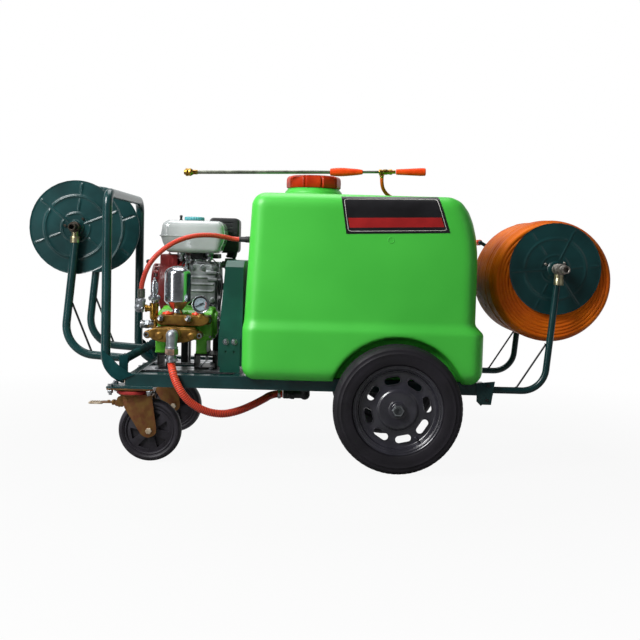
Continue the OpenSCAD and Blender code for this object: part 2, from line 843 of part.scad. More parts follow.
// Brake pedal of one caster, hung on the pin behind the fork
module brake_pedal() {
    pin = [caster_x - 46, 184];
    color(zinc_gold) translate([0, caster_y, 0]) difference() {
        union() {
            bar_y(pin[0], pin[1], -17, 17, 9);
            block([pin[0] - 50, -15, pin[1] - 2], [pin[0] - 6, 15, pin[1] + 3]);
            block([pin[0] - 90, -21, pin[1] - 5], [pin[0] - 50, 21, pin[1] + 1]);
            block([pin[0] + 4, -14, pin[1] - 14], [pin[0] + 8, 14, pin[1] + 2]);
        }
        bar_y(pin[0], pin[1], -30, 30, 5 + run_fit);
    }
}

module near_fork() { mirror([0, 1, 0]) fork(); }
module far_fork() { fork(); }
module near_caster_wheel() { mirror([0, 1, 0]) caster_wheel(); }
module far_caster_wheel() { caster_wheel(); }
module near_brake() { mirror([0, 1, 0]) brake_pedal(); }
module far_brake() { brake_pedal(); }

// ---------------------------------------------------------------- main wheels

bead_r = 126;

module tyre() {
    r = wheel_d / 2;
    w = wheel_w / 2;
    color(rubber) translate([axle_x, wheel_y, r]) rotate([90, 0, 0]) rotate_extrude($fn = 96)
        polygon([[bead_r + gap, -w + 12], [138, -w + 11], [148, -w + 3], [165, -w], [184, -w + 3],
            [195, -w + 11], [r, -w + 24], [r, w - 24], [195, w - 11], [184, w - 3], [165, w],
            [148, w - 3], [138, w - 11], [bead_r + gap, w - 12]]);
}

// Pressed rim: barrel, flanges, a disc with eight slots and the hub
module rim() {
    w = wheel_w / 2;
    color("#3a3840") translate([axle_x, wheel_y, wheel_d / 2]) rotate([-90, 0, 0]) difference() {
        union() {
            difference() {
                union() {
                    translate([0, 0, -w + 8]) cylinder(r = bead_r, h = 2 * w - 16);
                    for (z = [-w + 8, w - 11]) translate([0, 0, z]) cylinder(r = 138, h = 3 - gap);
                }
                translate([0, 0, -w]) cylinder(r = bead_r - 4, h = 2 * w);
            }
            difference() {
                translate([0, 0, 12]) cylinder(r = bead_r - 3, h = 5);
                for (a = [0:45:315]) rotate([0, 0, a - 12]) hull_slot(91, 26, 13);
            }
            translate([0, 0, 17]) cylinder(r1 = 60, r2 = 54, h = 5);
            translate([0, 0, -w + 10]) cylinder(r = 28, h = 28 - gap + w - 10);
        }
        translate([0, 0, -w]) cylinder(r = axle_d / 2 + run_fit, h = 2 * w);
    }
}

// A slot of half length l and half width w, at radius r, cut through the rim disc
module hull_slot(r, l, w) {
    translate([0, r, 5]) union() {
        for (s = [-1, 1]) translate([s * (l - w), 0, 0]) cylinder(r = w, h = 20);
        translate([-l + w, -w, 0]) cube([2 * (l - w), 2 * w, 20]);
    }
}

module near_tyre() { mirror([0, 1, 0]) tyre(); }
module far_tyre() { tyre(); }
module near_rim() { mirror([0, 1, 0]) rim(); }
module far_rim() { rim(); }

// ---------------------------------------------------------------- reels

pipe_r = 13.5;
front_axle = [-792, 736];
rear_axle = [752, 642];
front_disc_y = 150;
rear_disc_y = 226;
front_stand_y = 172;
rear_stand_y = 271;

// Socket tee that carries a reel's axle on top of a stand leg
module tee(axle, drop, half) {
    difference() {
        union() {
            bar_y(axle[0], axle[1], -half, half, 18);
            bar_z([axle[0] + 2, 0], axle[1] - drop, axle[1] - 27, 16);
            bar_z([axle[0] + 2, 0], axle[1] - 28, axle[1], 11);
        }
        bar_y(axle[0], axle[1], -20, 20, pipe_r + run_fit);
    }
}

// Bent legs, tees and brace rods that carry the empty reel
module front_reel_stand() {
    color(teal) both_sides() translate([0, front_stand_y, 0]) {
        bent_bar([-788, front_axle[1] - 48], [-824.5, 329], [cross_x - 15.4, 316], 95, 13.5);
        tee(front_axle, 48, 11.5);
        rod_xz([-802, 503], [-732, 333], 3.5);
    }
}

// Pressed disc of a reel: a plate with a ring rib, a hub ring and six radial ribs
module reel_disc(r, y, out, turn) {
    translate([0, y, 0]) rotate([-90, 0, 0]) difference() {
        union() {
            translate([0, 0, -1.5]) cylinder(r = r, h = 3);
            translate([0, 0, out > 0 ? 0 : -4]) difference() {
                cylinder(r = r * 0.70, h = 4);
                translate([0, 0, -1]) cylinder(r = r * 0.63, h = 6);
            }
            translate([0, 0, out > 0 ? 0 : -4]) difference() {
                cylinder(r = r * 0.33, h = 4);
                translate([0, 0, -1]) cylinder(r = r * 0.27, h = 6);
            }
            for (a = [0:60:300]) rotate([0, 0, a + turn]) translate([0, 0, out > 0 ? 0 : -4]) {
                translate([r * 0.32, -3, 0]) cube([r * 0.32, 6, 4]);
                translate([r * 0.69, -3, 0]) cube([r * 0.22, 6, 4]);
            }
            translate([0, 0, out > 0 ? 0 : -10]) cylinder(r = 26, h = 10);
        }
        translate([0, 0, -20]) cylinder(r = pipe_r, h = 40);
    }
}

module front_reel() {
    color(teal) translate([front_axle[0], 0, front_axle[1]]) {
        for (s = [-1, 1]) reel_disc(front_disc_r, s * front_disc_y, s, 22);
        bar_y(0, 0, -front_disc_y + 1, front_disc_y - 1, 30);
    }
    color(steel) {
        bar_y(front_axle[0], front_axle[1], -186, 186, pipe_r);
        bar_y(front_axle[0], front_axle[1], -212, 212, pipe_r - 1);
    }
}

// Bent legs, tees, brace rods and end brackets that carry the full reel
module rear_reel_stand() {
    leg_r = 10.8;
    color(teal) {
        both_sides() {
            translate([0, rear_stand_y, 0]) {
                bent_bar([750, rear_axle[1] - 46], [720, 256], [rail_x1 - 34, 256], 75, leg_r);
                tee(rear_axle, 48, 15);
                rod_xz([721, 402], [636, 268], 3);
            }
            difference() {
                slab_xz(rail_face + gap, rail_face + 4) polygon([[502, 279.6], [506, 236], [506, 222], [520, 208],
                    [524, 212], [552, 212], [562, 286]]);
                bar_y(541, 273, rail_face - 10, rail_face + 10, 5);
                bar_y(538, 227, rail_face - 10, rail_face + 10, 5);
            }
            bar_y(541, 273, rail_face + 0.4, rail_face + 9, 5);
            bar_y(538, 227, rail_face + 0.4, rail_face + 9, 5);
            translate([0, rear_stand_y, 0]) block([rail_x1 + gap, -14, 242], [rail_x1 + 30, rail_face - rear_stand_y, 270]);
        }
    }
}

crank_tip = [593, 727];
crank_y0 = 312;

// Discs, drum, axle pipe and crank arm of the full reel
module rear_reel() {
    color(teal) {
        translate([rear_axle[0], 0, rear_axle[1]]) {
            for (s = [-1, 1]) reel_disc(rear_disc_r, s * rear_disc_y, s, 5);
            bar_y(0, 0, -rear_disc_y + 1, rear_disc_y - 1, 40);
        }
        translate([0, crank_y0, 0]) rod_xz(rear_axle, crank_tip, 6.5);
        bar_y(rear_axle[0], rear_axle[1], crank_y0 - 14, crank_y0 + 14, 20);
        translate([crank_tip[0], crank_y0, crank_tip[1]]) sphere(8);
        bar_y(crank_tip[0], crank_tip[1], crank_y0, 398, 5);
    }
    color(steel) {
        bar_y(rear_axle[0], rear_axle[1], -332, crank_y0 + 12, pipe_r);
        bar_y(rear_axle[0], rear_axle[1], -375, -300, pipe_r - 1);
        bar_y(rear_axle[0], rear_axle[1], -330, -290, 17);
    }
}

module crank_grip() {
    color(red_plastic) translate([crank_tip[0], 322, crank_tip[1]]) rotate([-90, 0, 0]) difference() {
        rotate_extrude() polygon([[5 + run_fit, 0], [9, 0], [11, 4], [11, 62], [9, 72], [5 + run_fit, 72]]);
    }
}

winding_at = [748, 602];
winding_y = 215;

// Outer shape of the wound hose, which hangs a little below the drum it is wound on,
// with a few broad turns standing proud round it
rib_y = [-164, -98, -33, 33, 98, 164];

module hose_winding() {
    r = winding_r;
    y = winding_y;
    color(orange_hose) translate([winding_at[0], 0, winding_at[1]]) rotate([90, 0, 0]) rotate_extrude($fn = 96)
        polygon(concat([[85, -y], [r - 36, -y + 5], [r - 26, -y], [r - 14, -y + 1], [r - 6, -y + 12]],
            [for (c = rib_y) for (p = [[-27, -5], [-14, 0], [14, 0], [27, -5]]) [r + p[1], c + p[0]]],
            [[r - 6, y - 12], [r - 14, y - 1], [r - 26, y], [r - 36, y - 5], [85, y]]));
}

// ---------------------------------------------------------------- lance

lance_at = [-28, -82, 939.2];
lance_tilt = -1.5;
lance_r = 6;

// The lance's own axis: along X from the nozzle, tipped up a little to the valve end
module on_lance() {
    translate(lance_at) rotate([0, lance_tilt, 0]) children();
}

module lance_tube() {
    color("#7a7d74") on_lance() {
        bar_x(0, 0, -394 + gap, 57 - gap, lance_r);
        bar_x(0, 0, 165 + gap, 218, 4.5);
    }
}

module lance_fittings() {
    color(brass) on_lance() {
        bar_x(0, 0, -426, -402, 13);
        translate([-402, 0, 0]) rotate([0, 90, 0]) cylinder(r1 = 13, r2 = 8, h = 8);
        bar_x(0, 0, 218 + gap, 262, 9);
        bar_z([228, 0], -18, 0, 7);
        bar_x(0, 0, 262, 274, 6);
    }
}

module lance_front_grip() {
    color(red_plastic) on_lance() translate([57, 0, 0]) rotate([0, 90, 0]) rotate_extrude()
        polygon([[0, 0], [13, 0], [16.5, 8], [16.5, 50], [15, 84], [11, 104], [0, 108]]);
}

// Grip that twists to open the valve
module lance_rear_grip() {
    color(red_plastic) on_lance() translate([274 + gap, 0, 0]) rotate([0, 90, 0]) difference() {
        rotate_extrude() polygon([[0, 0], [11, 0], [13.5, 8], [15, 20], [15, 90], [13, 98], [0, 98]]);
    }
}

// ---------------------------------------------------------------- hoses

suction_route = [[-455, -282, 317.4], [-455, -282, 310], [-451.5, -290, 299], [-446, -306, 288],
    [-439, -313, 270], [-428, -319, 249], [-413, -321, 225], [-392, -314, 200], [-362, -302, 178],
    [-326, -284, 162], [-286, -260, 156], [-244, -228, 162], [-204, -196, 176], [-168, -163, 192],
    [-152, -140, 199.5], [-134, -124, 203.2], [-121, -120.3, 204], [-108.7, -120, 204]];
return_route = [[-572, -175, 537.3], [-572, -175, 547], [-569, -174.6, 566], [-560, -172.5, 597],
    [-545, -166, 629], [-520, -154, 660], [-486, -140, 688], [-448, -122, 708], [-406, -102, 720],
    [-364, -82, 723], [-326, -62, 719.5], [-300, -47, 714.5], [-284, -40.6, 712], [-270.3, -40, 712]];
lance_route = [[200.4, -82, 926.6], [200.5, -81.9, 916.5], [202.2, -77.5, 904.5], [207, -66, 891], [218, -46, 878],
    [234, -20, 868.5], [254, 8, 864.6], [278, 38, 864.4], [306, 68, 864.4], [338, 96, 864.4],
    [372, 122, 864.4], [404, 146, 864], [433.1, 168, 854.1], [457.1, 190, 832.3], [475, 212, 802.4],
    [487.1, 232, 768.9], [512, 248, 738], [524, 262, 706], [541, 270, 678], [561, 266, 657],
    [577, 250, 646], [584.5, 233, 641.5], [586, 221, 640], [586, 215.6, 640]];

module suction_hose() { color(red_hose) hose(suction_route, 23, 12, [0, 1, 0]); }
module return_hose() { color(red_hose) hose(return_route, 16, 12, [0, 1, 0]); }
module lance_hose() { color(orange_hose) hose(lance_route, 12, 10, [1, 0, 0]); }

// ---------------------------------------------------------------- parts

side_rails();
frame_members();
platform();
push_handle();
handle_braces();
axle();
tank();
tank_cap();
tank_fittings();
engine_block();
cylinder_block();  // cylinder
fan_shroud();
recoil_handle();
fuel_tank();
fuel_cap();
air_filter();
carburettor();
muffler();
throttle_lever();
engine_pulley();
pump_crankcase();
machine_stands();
suction_manifold();
delivery_manifold();
air_chamber();
gauge_case();
gauge_needle();
relief_valve();
pressure_knob();
relief_lever();
return_elbow();
outlet_cock();
inlet_elbow();
pump_pulley();
drive_belts();
belt_guard();
caster_plates();
near_fork();
near_caster_wheel();
near_brake();
far_fork();
far_caster_wheel();
far_brake();
near_tyre();
near_rim();
far_tyre();
far_rim();
front_reel_stand();
front_reel();
rear_reel_stand();
rear_reel();
crank_grip();
hose_winding();
lance_tube();
lance_fittings();
lance_front_grip();
lance_rear_grip();
suction_hose();
return_hose();
lance_hose();
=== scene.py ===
# %% [markdown]
# # A wheeled orchard sprayer
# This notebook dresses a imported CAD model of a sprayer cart: a moulded tank on a
# steel frame, an engine that drives a pump, two hose reels and a lance. The CAD
# solids carry the sizes and the joints. Here each visible surface gets its real
# shape and finish. Lengths are written in millimetres, as on a workshop drawing,
# and turned into metres when a mesh is finished.

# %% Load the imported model
import math
import random
import bpy
import bmesh
from mathutils import Matrix, Vector


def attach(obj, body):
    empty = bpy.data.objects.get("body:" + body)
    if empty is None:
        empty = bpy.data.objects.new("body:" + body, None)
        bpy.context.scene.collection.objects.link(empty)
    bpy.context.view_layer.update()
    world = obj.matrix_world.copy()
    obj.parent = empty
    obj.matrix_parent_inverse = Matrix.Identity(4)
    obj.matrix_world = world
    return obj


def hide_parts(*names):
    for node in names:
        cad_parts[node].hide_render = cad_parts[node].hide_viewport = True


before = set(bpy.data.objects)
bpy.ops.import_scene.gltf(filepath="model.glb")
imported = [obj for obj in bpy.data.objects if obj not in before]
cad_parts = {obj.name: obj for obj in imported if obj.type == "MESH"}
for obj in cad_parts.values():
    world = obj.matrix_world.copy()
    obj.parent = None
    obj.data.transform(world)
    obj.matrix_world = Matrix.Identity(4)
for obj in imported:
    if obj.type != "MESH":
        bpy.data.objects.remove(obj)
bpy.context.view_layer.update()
MM = 0.001
scene = bpy.context.scene

# %% [markdown]
# ## Camera
# The camera stands on the near side, a little above the hubs, with a moderately
# long lens. It is tipped down by under four degrees and rolled by one and a half,
# so level lines fall slightly to the right.

# %% Camera
def camera_matrix(place, pitch, yaw, roll):
    """The camera's pose from a level view along +Y, tipped down, turned left and rolled."""
    p, y, r = (math.radians(v) for v in (pitch, yaw, roll))
    ahead = Vector((-math.sin(y) * math.cos(p), math.cos(y) * math.cos(p), -math.sin(p)))
    right = Vector((math.cos(y), math.sin(y), 0))
    up = right.cross(ahead)
    across = right * math.cos(r) + up * math.sin(r)
    above = up * math.cos(r) - right * math.sin(r)
    return Matrix((
        (across.x, above.x, -ahead.x, place[0]),
        (across.y, above.y, -ahead.y, place[1]),
        (across.z, above.z, -ahead.z, place[2]),
        (0, 0, 0, 1)))

camera = bpy.data.objects.new("camera", bpy.data.cameras.new("camera"))
scene.collection.objects.link(camera)
camera.matrix_world = camera_matrix((0.019, -3.45, 0.677), 3.85, 0.18, 1.5)
camera.data.sensor_width = 36
camera.data.lens = 1012 / 640 * 36
camera.data.clip_end = 60
scene.camera = camera
print("lens", round(camera.data.lens, 2), "mm")

# %% [markdown]
# ## Tools for materials
# Each finish is one Principled shader whose colour wanders a little between two
# shades, as real surfaces do. It may carry fine relief and uneven gloss. Colours are
# the hex values seen on a screen; one function turns them into linear values.

# %% Material tools
def linear(hex_colour):
    """An sRGB hex colour as linear RGBA."""
    parts = [int(hex_colour[i:i + 2], 16) / 255 for i in (1, 3, 5)]
    return [p / 12.92 if p <= 0.04045 else ((p + 0.055) / 1.055) ** 2.4 for p in parts] + [1.0]

def add(tree, kind, inputs=None, **settings):
    """Adds a node with its settings; an input is a value, a socket or a node's first output."""
    node = tree.nodes.new("ShaderNode" + kind)
    for key, value in settings.items():
        if key == "ramp":
            for element, (place, colour) in zip(node.color_ramp.elements, value):
                element.position, element.color = place, linear(colour)
        else:
            setattr(node, key, value)
    for key, value in (inputs or {}).items():
        if isinstance(value, bpy.types.Node):
            value = value.outputs[0]
        if isinstance(value, bpy.types.NodeSocket):
            tree.links.new(value, node.inputs[key])
        else:
            node.inputs[key].default_value = value
    return node

def finish(name, colour, shades=None, relief=None, scuffs=None, **sockets):
    """A material of one colour, which may wander between two shades.

    shades: low, high, patches to a metre and noise detail. relief: grains to a metre,
    height in mm and noise detail. scuffs: least and most roughness, and patches to a
    metre. sockets: constant values of the shader."""
    made = bpy.data.materials.new(name)
    made.use_nodes = True
    tree = made.node_tree
    shader = tree.nodes["Principled BSDF"]
    for key, value in sockets.items():
        shader.inputs[key.replace("_", " ")].default_value = value
    made.diffuse_color = shader.inputs["Base Color"].default_value = linear(colour)
    place = add(tree, "TexCoord").outputs["Object"]
    if shades:
        low, high, patches, detail = (*shades, 3.0)[:4]
        noise = add(tree, "TexNoise", {"Vector": place, "Scale": patches, "Detail": detail})
        tone = add(tree, "ValToRGB", {"Fac": noise}, ramp=[(0.35, low), (0.65, high)])
        tree.links.new(tone.outputs["Color"], shader.inputs["Base Color"])
    if relief:
        grains, height, fineness = (*relief, 2.0)[:3]
        noise = add(tree, "TexNoise", {"Vector": place, "Scale": grains, "Detail": fineness})
        bump = add(tree, "Bump", {"Height": noise, "Distance": height * MM, "Strength": 1.0})
        tree.links.new(bump.outputs["Normal"], shader.inputs["Normal"])
    if scuffs:
        noise = add(tree, "TexNoise", {"Vector": place, "Scale": scuffs[2], "Detail": 5.0})
        spread = add(tree, "MapRange", {"Value": noise, "From Min": 0.3, "From Max": 0.7, "To Min": scuffs[0],
                                        "To Max": scuffs[1]})
        tree.links.new(spread.outputs["Result"], shader.inputs["Roughness"])
    return made

# %% [markdown]
# ## Painted steel and plated steel
# The frame and the reels are mild steel under a powder coat, sprayed dry and baked,
# which leaves a faint orange peel and an even satin gloss. Tees, bolts and elbows
# are bright zinc plated; the casters are yellow zinc plated, which gives a brown
# gold with a slight rainbow in it.

# %% Steel finishes
POWDER = finish("powder_coat_dark_teal", "#123A3A", ("#0C2B2C", "#133B3C", 9), relief=(420, 0.018),
    Roughness=0.26, Specular_IOR_Level=0.42)
# The same paint after years of boots and hands: duller, with little sheen
WORN_POWDER = finish("powder_coat_worn_teal", "#123A3A", ("#0D2C2D", "#173F40", 16), relief=(420, 0.02),
    Roughness=0.8, Specular_IOR_Level=0.02)
GUARD_PAINT = finish("powder_coat_guard_green", "#14463C", ("#123F36", "#185044", 8), relief=(420, 0.05),
    Roughness=0.38, Specular_IOR_Level=0.3)
BRACE_PAINT = finish("brushed_enamel_black", "#17191B", ("#121415", "#222527", 30), relief=(300, 0.06),
    Roughness=0.42, Specular_IOR_Level=0.35)
ZINC = finish("bright_zinc_plate", "#9DA1A5", ("#93979B", "#A9ADB1", 40),
    scuffs=(0.25, 0.37, 90), Metallic=1.0)
# The same plating over a rough casting: duller, with a broad soft highlight
CAST_ZINC = finish("dull_zinc_plate", "#9A9EA3", ("#8A8E93", "#A9ADB2", 60), relief=(420, 0.06),
    Metallic=0.9, Roughness=0.46)
YELLOW_ZINC = finish("yellow_zinc_plate", "#7A5336", ("#74482F", "#7E5E33", 45),
    scuffs=(0.28, 0.5, 70), Metallic=0.8)
# Zinc plate with a light yellow passivation, on the collars over the legs
COLLAR_ZINC = finish("zinc_plate_straw", "#A39C7C", ("#8C8566", "#B5AE8F", 50), Metallic=0.9, Roughness=0.3)
NUT_PINK = finish("plated_nut_worn_copper", "#A98474", ("#8F8178", "#BE8F78", 70),
    Metallic=0.9, Roughness=0.35)
PEDAL_PALE = finish("worn_plate_pale", "#B5A288", ("#9A8466", "#CFC2AE", 60), Metallic=0.6, Roughness=0.4)
CHROME = finish("chrome_plate", "#BBC0C6", scuffs=(0.17, 0.24, 40), Metallic=1.0)
RIM_ENAMEL = finish("stoved_enamel_graphite", "#28272E", ("#232229", "#302F37", 20), relief=(350, 0.015),
    Roughness=0.27, Coat_Weight=0.3, Coat_Roughness=0.12)
MUFFLER_STEEL = finish("heat_dulled_steel", "#8A8680", ("#6F6A63", "#A29D95", 24),
    Metallic=0.8, Roughness=0.45)
PULLEY_IRON = finish("turned_cast_iron", "#55585A", ("#45484A", "#6A6D70", 50), Metallic=0.9, Roughness=0.42)
LANCE_STEEL = finish("dull_plated_tube", "#6F7267", ("#5D6056", "#83867A", 30), Metallic=0.85, Roughness=0.38)
RAW_STEEL = finish("zinc_pipe_dull", "#8D8780", ("#75706A", "#A8A29A", 70), Metallic=0.85, Roughness=0.36)
# Malleable iron with a thin oil film: brown-black, with soft bright edges
DARK_IRON = finish("malleable_iron_oiled", "#37322C", ("#2B2722", "#4A433A", 70),
    Metallic=0.6, Roughness=0.36)
SLEEVE = finish("crimped_sleeve_grey", "#5A5B55", ("#45463F", "#74766C", 90), Metallic=0.8, Roughness=0.42)
print("steel finishes ready")

# %% [markdown]
# ## Cast and moulded finishes
# The pump's manifolds are sand-cast brass with a skin of small grains, machined only
# on their faces. Its crankcase is cast iron under lime enamel. The engine is die-cast
# aluminium, shot-blasted to a fine even grey. The tank is rotomoulded polyethylene:
# powder melted onto the inside of a turning mould, so its walls are smooth and a
# little waxy, never glossy. The cap, the blower housing and the grips are
# injection-moulded. The tyres are black rubber, which turns a soft grey outdoors.

# %% Cast finishes
BRASS = finish("sand_cast_brass", "#84632B", ("#5C3F17", "#8E6B2E", 45), relief=(380, 0.12, 4.0),
    Metallic=0.7, Roughness=0.4)
TURNED_BRASS = finish("turned_brass", "#9E7733", ("#83601F", "#B8924A", 80), Metallic=1.0, Roughness=0.27)
LIME_ENAMEL = finish("lime_enamel_on_cast_iron", "#5FC22C", ("#52B222", "#6FD038", 22), relief=(260, 0.2),
    Roughness=0.32, Coat_Weight=0.2)
ALUMINIUM = finish("die_cast_aluminium", "#828788", ("#6B6F70", "#999E9F", 30), relief=(600, 0.06),
    Metallic=0.6, Roughness=0.48)
FUEL_ENAMEL = finish("baked_enamel_white", "#B9BDBC", ("#A4A9A9", "#B6BABA", 8), Roughness=0.16,
    Coat_Weight=0.4, Coat_Roughness=0.05)
SHROUD_RED = finish("sprayed_enamel_red", "#8C1F1F", ("#7A1A1B", "#9C2625", 18), relief=(300, 0.05),
    Roughness=0.35, Coat_Weight=0.1)
CAP_ORANGE = finish("enamelled_valve_cap_orange", "#E2401C", ("#D23716", "#EC4E28", 60), Roughness=0.3)

# %% Plastic, rubber and print finishes
TANK_GREEN = finish("rotomoulded_polyethylene_green", "#42BF3C", ("#3EBA38", "#46C43F", 3, 2.0),
    relief=(140, 0.06), Roughness=0.44, Specular_IOR_Level=0.6)
CAP_RED = finish("moulded_polypropylene_red", "#C2300C", ("#A62608", "#BE3610", 14), relief=(500, 0.02),
    Roughness=0.34, Specular_IOR_Level=0.16)
GRIP_ORANGE = finish("moulded_abs_orange_red", "#E43C08", ("#E03C0A", "#F24D16", 40), relief=(900, 0.05),
    Roughness=0.42, Specular_IOR_Level=0.14)
BLACK_PLASTIC = finish("moulded_nylon_black", "#1D1C20", ("#18171A", "#252429", 40), relief=(700, 0.04),
    Roughness=0.5, Specular_IOR_Level=0.4)
CAP_TEAL = finish("moulded_nylon_teal", "#4FA0A6", ("#46949A", "#5AACB2", 60), Roughness=0.4)
DUST_RED = finish("moulded_seal_red", "#85201E", ("#7C2323", "#A13330", 40), Roughness=0.55,
    Specular_IOR_Level=0.15)
TYRE_RUBBER = finish("weathered_black_rubber", "#18161B", ("#151318", "#1E1B22", 12, 5.0), (500, 0.05),
    (0.5, 0.75, 30), Specular_IOR_Level=0.3)
CASTER_RUBBER = finish("solid_rubber_grey_black", "#1E1B22", ("#1A171D", "#26232A", 40, 4.0), (600, 0.05),
    Roughness=0.55, Specular_IOR_Level=0.35)
BELT_RUBBER = finish("belt_rubber", "#1A1A1B", ("#151516", "#222223", 60), Roughness=0.7)
PLATE_BLACK = finish("vinyl_sheet_black", "#171618", ("#131214", "#1E1D20", 12), Roughness=0.3)
PLATE_PALE = finish("vinyl_print_pale", "#D8D6D0", ("#CFCDC6", "#E0DED9", 30), Roughness=0.35)
PLATE_RED = finish("vinyl_print_red", "#A51E1E", ("#961A1B", "#B02423", 14), Roughness=0.32)
DIAL = finish("printed_dial_pale", "#8D9CA6", Roughness=0.5)
DIAL_INK = finish("printed_ink_dark", "#1E2226", Roughness=0.4)
DIAL_RED = finish("printed_ink_red", "#B8281F", Roughness=0.4)
print("cast, moulded and printed finishes ready")

# %% [markdown]
# ## Hose finishes
# The wound pressure hose is smooth orange PVC gone matt in the sun. The suction and
# return hoses are clear red PVC over a white polyester braid, so from outside one
# sees a red skin with a fine lighter lattice under it. Rings of painted rib shade
# lie one to each 6 mm, in the grooves of the suction hose's ribs and on the smooth
# return hose alike, and threads cross the hose at 45 degrees.

# %% Hose finishes
HOSE_ORANGE = finish("smooth_pvc_orange", "#CC620C", ("#BC5214", "#D86C0C", 9, 4.0), scuffs=(0.34, 0.5, 50),
    Specular_IOR_Level=0.08)
# A wave texture repeats every tau / 20 of its scaled coordinate. The hoses' UV has 4 mm
# to a unit along them, so this scale gives one ring to each 6 mm rib.
RING_SCALE, THREAD_SCALE = 0.20944, 0.6

def braided(name, skin, dark, thread, share):
    """Clear skin over a braid: rings of painted shade across the hose and slanted threads, by its own UV."""
    made = finish(name, skin, Roughness=0.32, Specular_IOR_Level=0.25, Coat_Weight=0.08, Coat_Roughness=0.12)
    tree = made.node_tree
    along = add(tree, "UVMap")
    rings = add(tree, "TexWave", {"Vector": along, "Scale": RING_SCALE, "Phase Offset": math.pi,
                                  "Distortion": 0.0}, wave_type="BANDS", bands_direction="Y")
    # dark is the colour of the rings, painted shade that is darkest in the grooves between ribs
    tone = add(tree, "ValToRGB", {"Fac": rings.outputs["Fac"]}, ramp=[(0.3, dark), (0.6, skin)])
    sets = []
    for slant in (1, -1):
        turned_uv = add(tree, "Mapping", {"Vector": along, "Rotation": (0, 0, slant * math.radians(45))})
        wave = add(tree, "TexWave", {"Vector": turned_uv, "Scale": THREAD_SCALE, "Distortion": 0.0},
                   wave_type="BANDS")
        sets.append(wave.outputs["Fac"])
    crossed = add(tree, "Math", {0: sets[0], 1: sets[1]}, operation="MAXIMUM")
    lattice = add(tree, "MapRange", {"Value": crossed, "From Min": 0.8, "From Max": 1.0, "To Min": 0.0,
                                     "To Max": share})
    mixed = add(tree, "MixRGB", {"Fac": lattice, "Color1": tone, "Color2": linear(thread)})
    tree.links.new(mixed.outputs["Color"], tree.nodes["Principled BSDF"].inputs["Base Color"])
    return made

# The third colour of each hose is the painted shade of its rings
SUCTION_PVC = braided("clear_pvc_red_suction", "#EE4628", "#840F05", "#F0A08A", 0.2)
RETURN_PVC = braided("clear_pvc_red_braided", "#CE2E1C", "#B02010", "#E68A76", 0.45)
print("hose finishes ready")

# %% [markdown]
# ## Tools for meshes
# The pieces are built in code from a few operations: turning a profile on a lathe,
# sweeping a circle along a path, extruding an outline, and rounding the edges of a
# block. Each operation adds to one mesh, so a piece can be made of several forms.

# %% Lathe, sweep and block
X, Y, Z = (Vector(way) for way in ((1, 0, 0), (0, 1, 0), (0, 0, 1)))

def oriented(verts, at, axis):
    """Turns points made along +Z so that they run along axis, and moves them to at."""
    turn = Vector(axis).to_track_quat("Z", "Y")
    for v in verts:
        v.co = turn @ v.co + Vector(at)

def lathe(bm, profile, at, axis, steps=48, mat=0, wave=None):
    """Turns a profile of (radius, height) round axis. wave(angle, r, h) scales the radius."""
    loop = len(profile) > 2 and profile[0] == profile[-1]
    rings = []
    for r, h in profile[:-1] if loop else profile:
        if r < 1e-6:
            rings.append([bm.verts.new((0, 0, h))])
            continue
        ring = []
        for k in range(steps):
            a = math.tau * k / steps
            q = r * (wave(a, r, h) if wave else 1)
            ring.append(bm.verts.new((q * math.cos(a), q * math.sin(a), h)))
        rings.append(ring)
    made = [v for ring in rings for v in ring]
    for low, high in zip(rings, rings[1:] + rings[:1] if loop else rings[1:]):
        for k in range(max(len(low), len(high))):
            n = (k + 1) % steps
            corners = [low[k % len(low)], low[n % len(low)], high[n % len(high)], high[k % len(high)]]
            corners = list(dict.fromkeys(corners))
            if len(corners) > 2:
                bm.faces.new(corners).material_index = mat
    if not loop:
        for ring in (rings[0], rings[-1]):
            if len(ring) > 1:
                bm.faces.new(ring).material_index = mat
    oriented(made, at, axis)

def turned(bm, edge, *place, **more):
    """A solid part from the lathe: edge is its outline from one end face to the other."""
    lathe(bm, [(0, edge[0][1])] + edge + [(0, edge[-1][1])], *place, **more)

def hollow(bm, section, *place, **more):
    """A part from the lathe with a bore: section is its closed outline off the axis."""
    lathe(bm, section + section[:1], *place, **more)

def flutes(count, depth, beyond):
    """A wave for the lathe: shallow flutes round a part where it is wider than beyond."""
    return lambda a, r, h: 1.0 - depth * (0.5 + 0.5 * math.cos(count * a)) if r > beyond else 1.0

def along_path(points, count):
    """A smooth line through the points, as count points evenly spaced along it."""
    p = [Vector(q) for q in points]
    p = [2 * p[0] - p[1]] + p + [2 * p[-1] - p[-2]]
    fine = []
    for i in range(1, len(p) - 2):
        for k in range(24):
            t = k / 24
            fine.append(0.5 * ((2 * p[i]) + (p[i + 1] - p[i - 1]) * t
                               + (2 * p[i - 1] - 5 * p[i] + 4 * p[i + 1] - p[i + 2]) * t * t
                               + (3 * p[i] - p[i - 1] - 3 * p[i + 1] + p[i + 2]) * t ** 3))
    fine.append(p[-2])
    runs = [0.0]
    for a, b in zip(fine, fine[1:]):
        runs.append(runs[-1] + (b - a).length)
    out, j = [], 0
    for i in range(count):
        want = runs[-1] * i / (count - 1)
        while j < len(runs) - 2 and runs[j + 1] < want:
            j += 1
        share = (want - runs[j]) / max(runs[j + 1] - runs[j], 1e-9)
        out.append(fine[j].lerp(fine[j + 1], min(1.0, share)))
    return out, runs[-1]

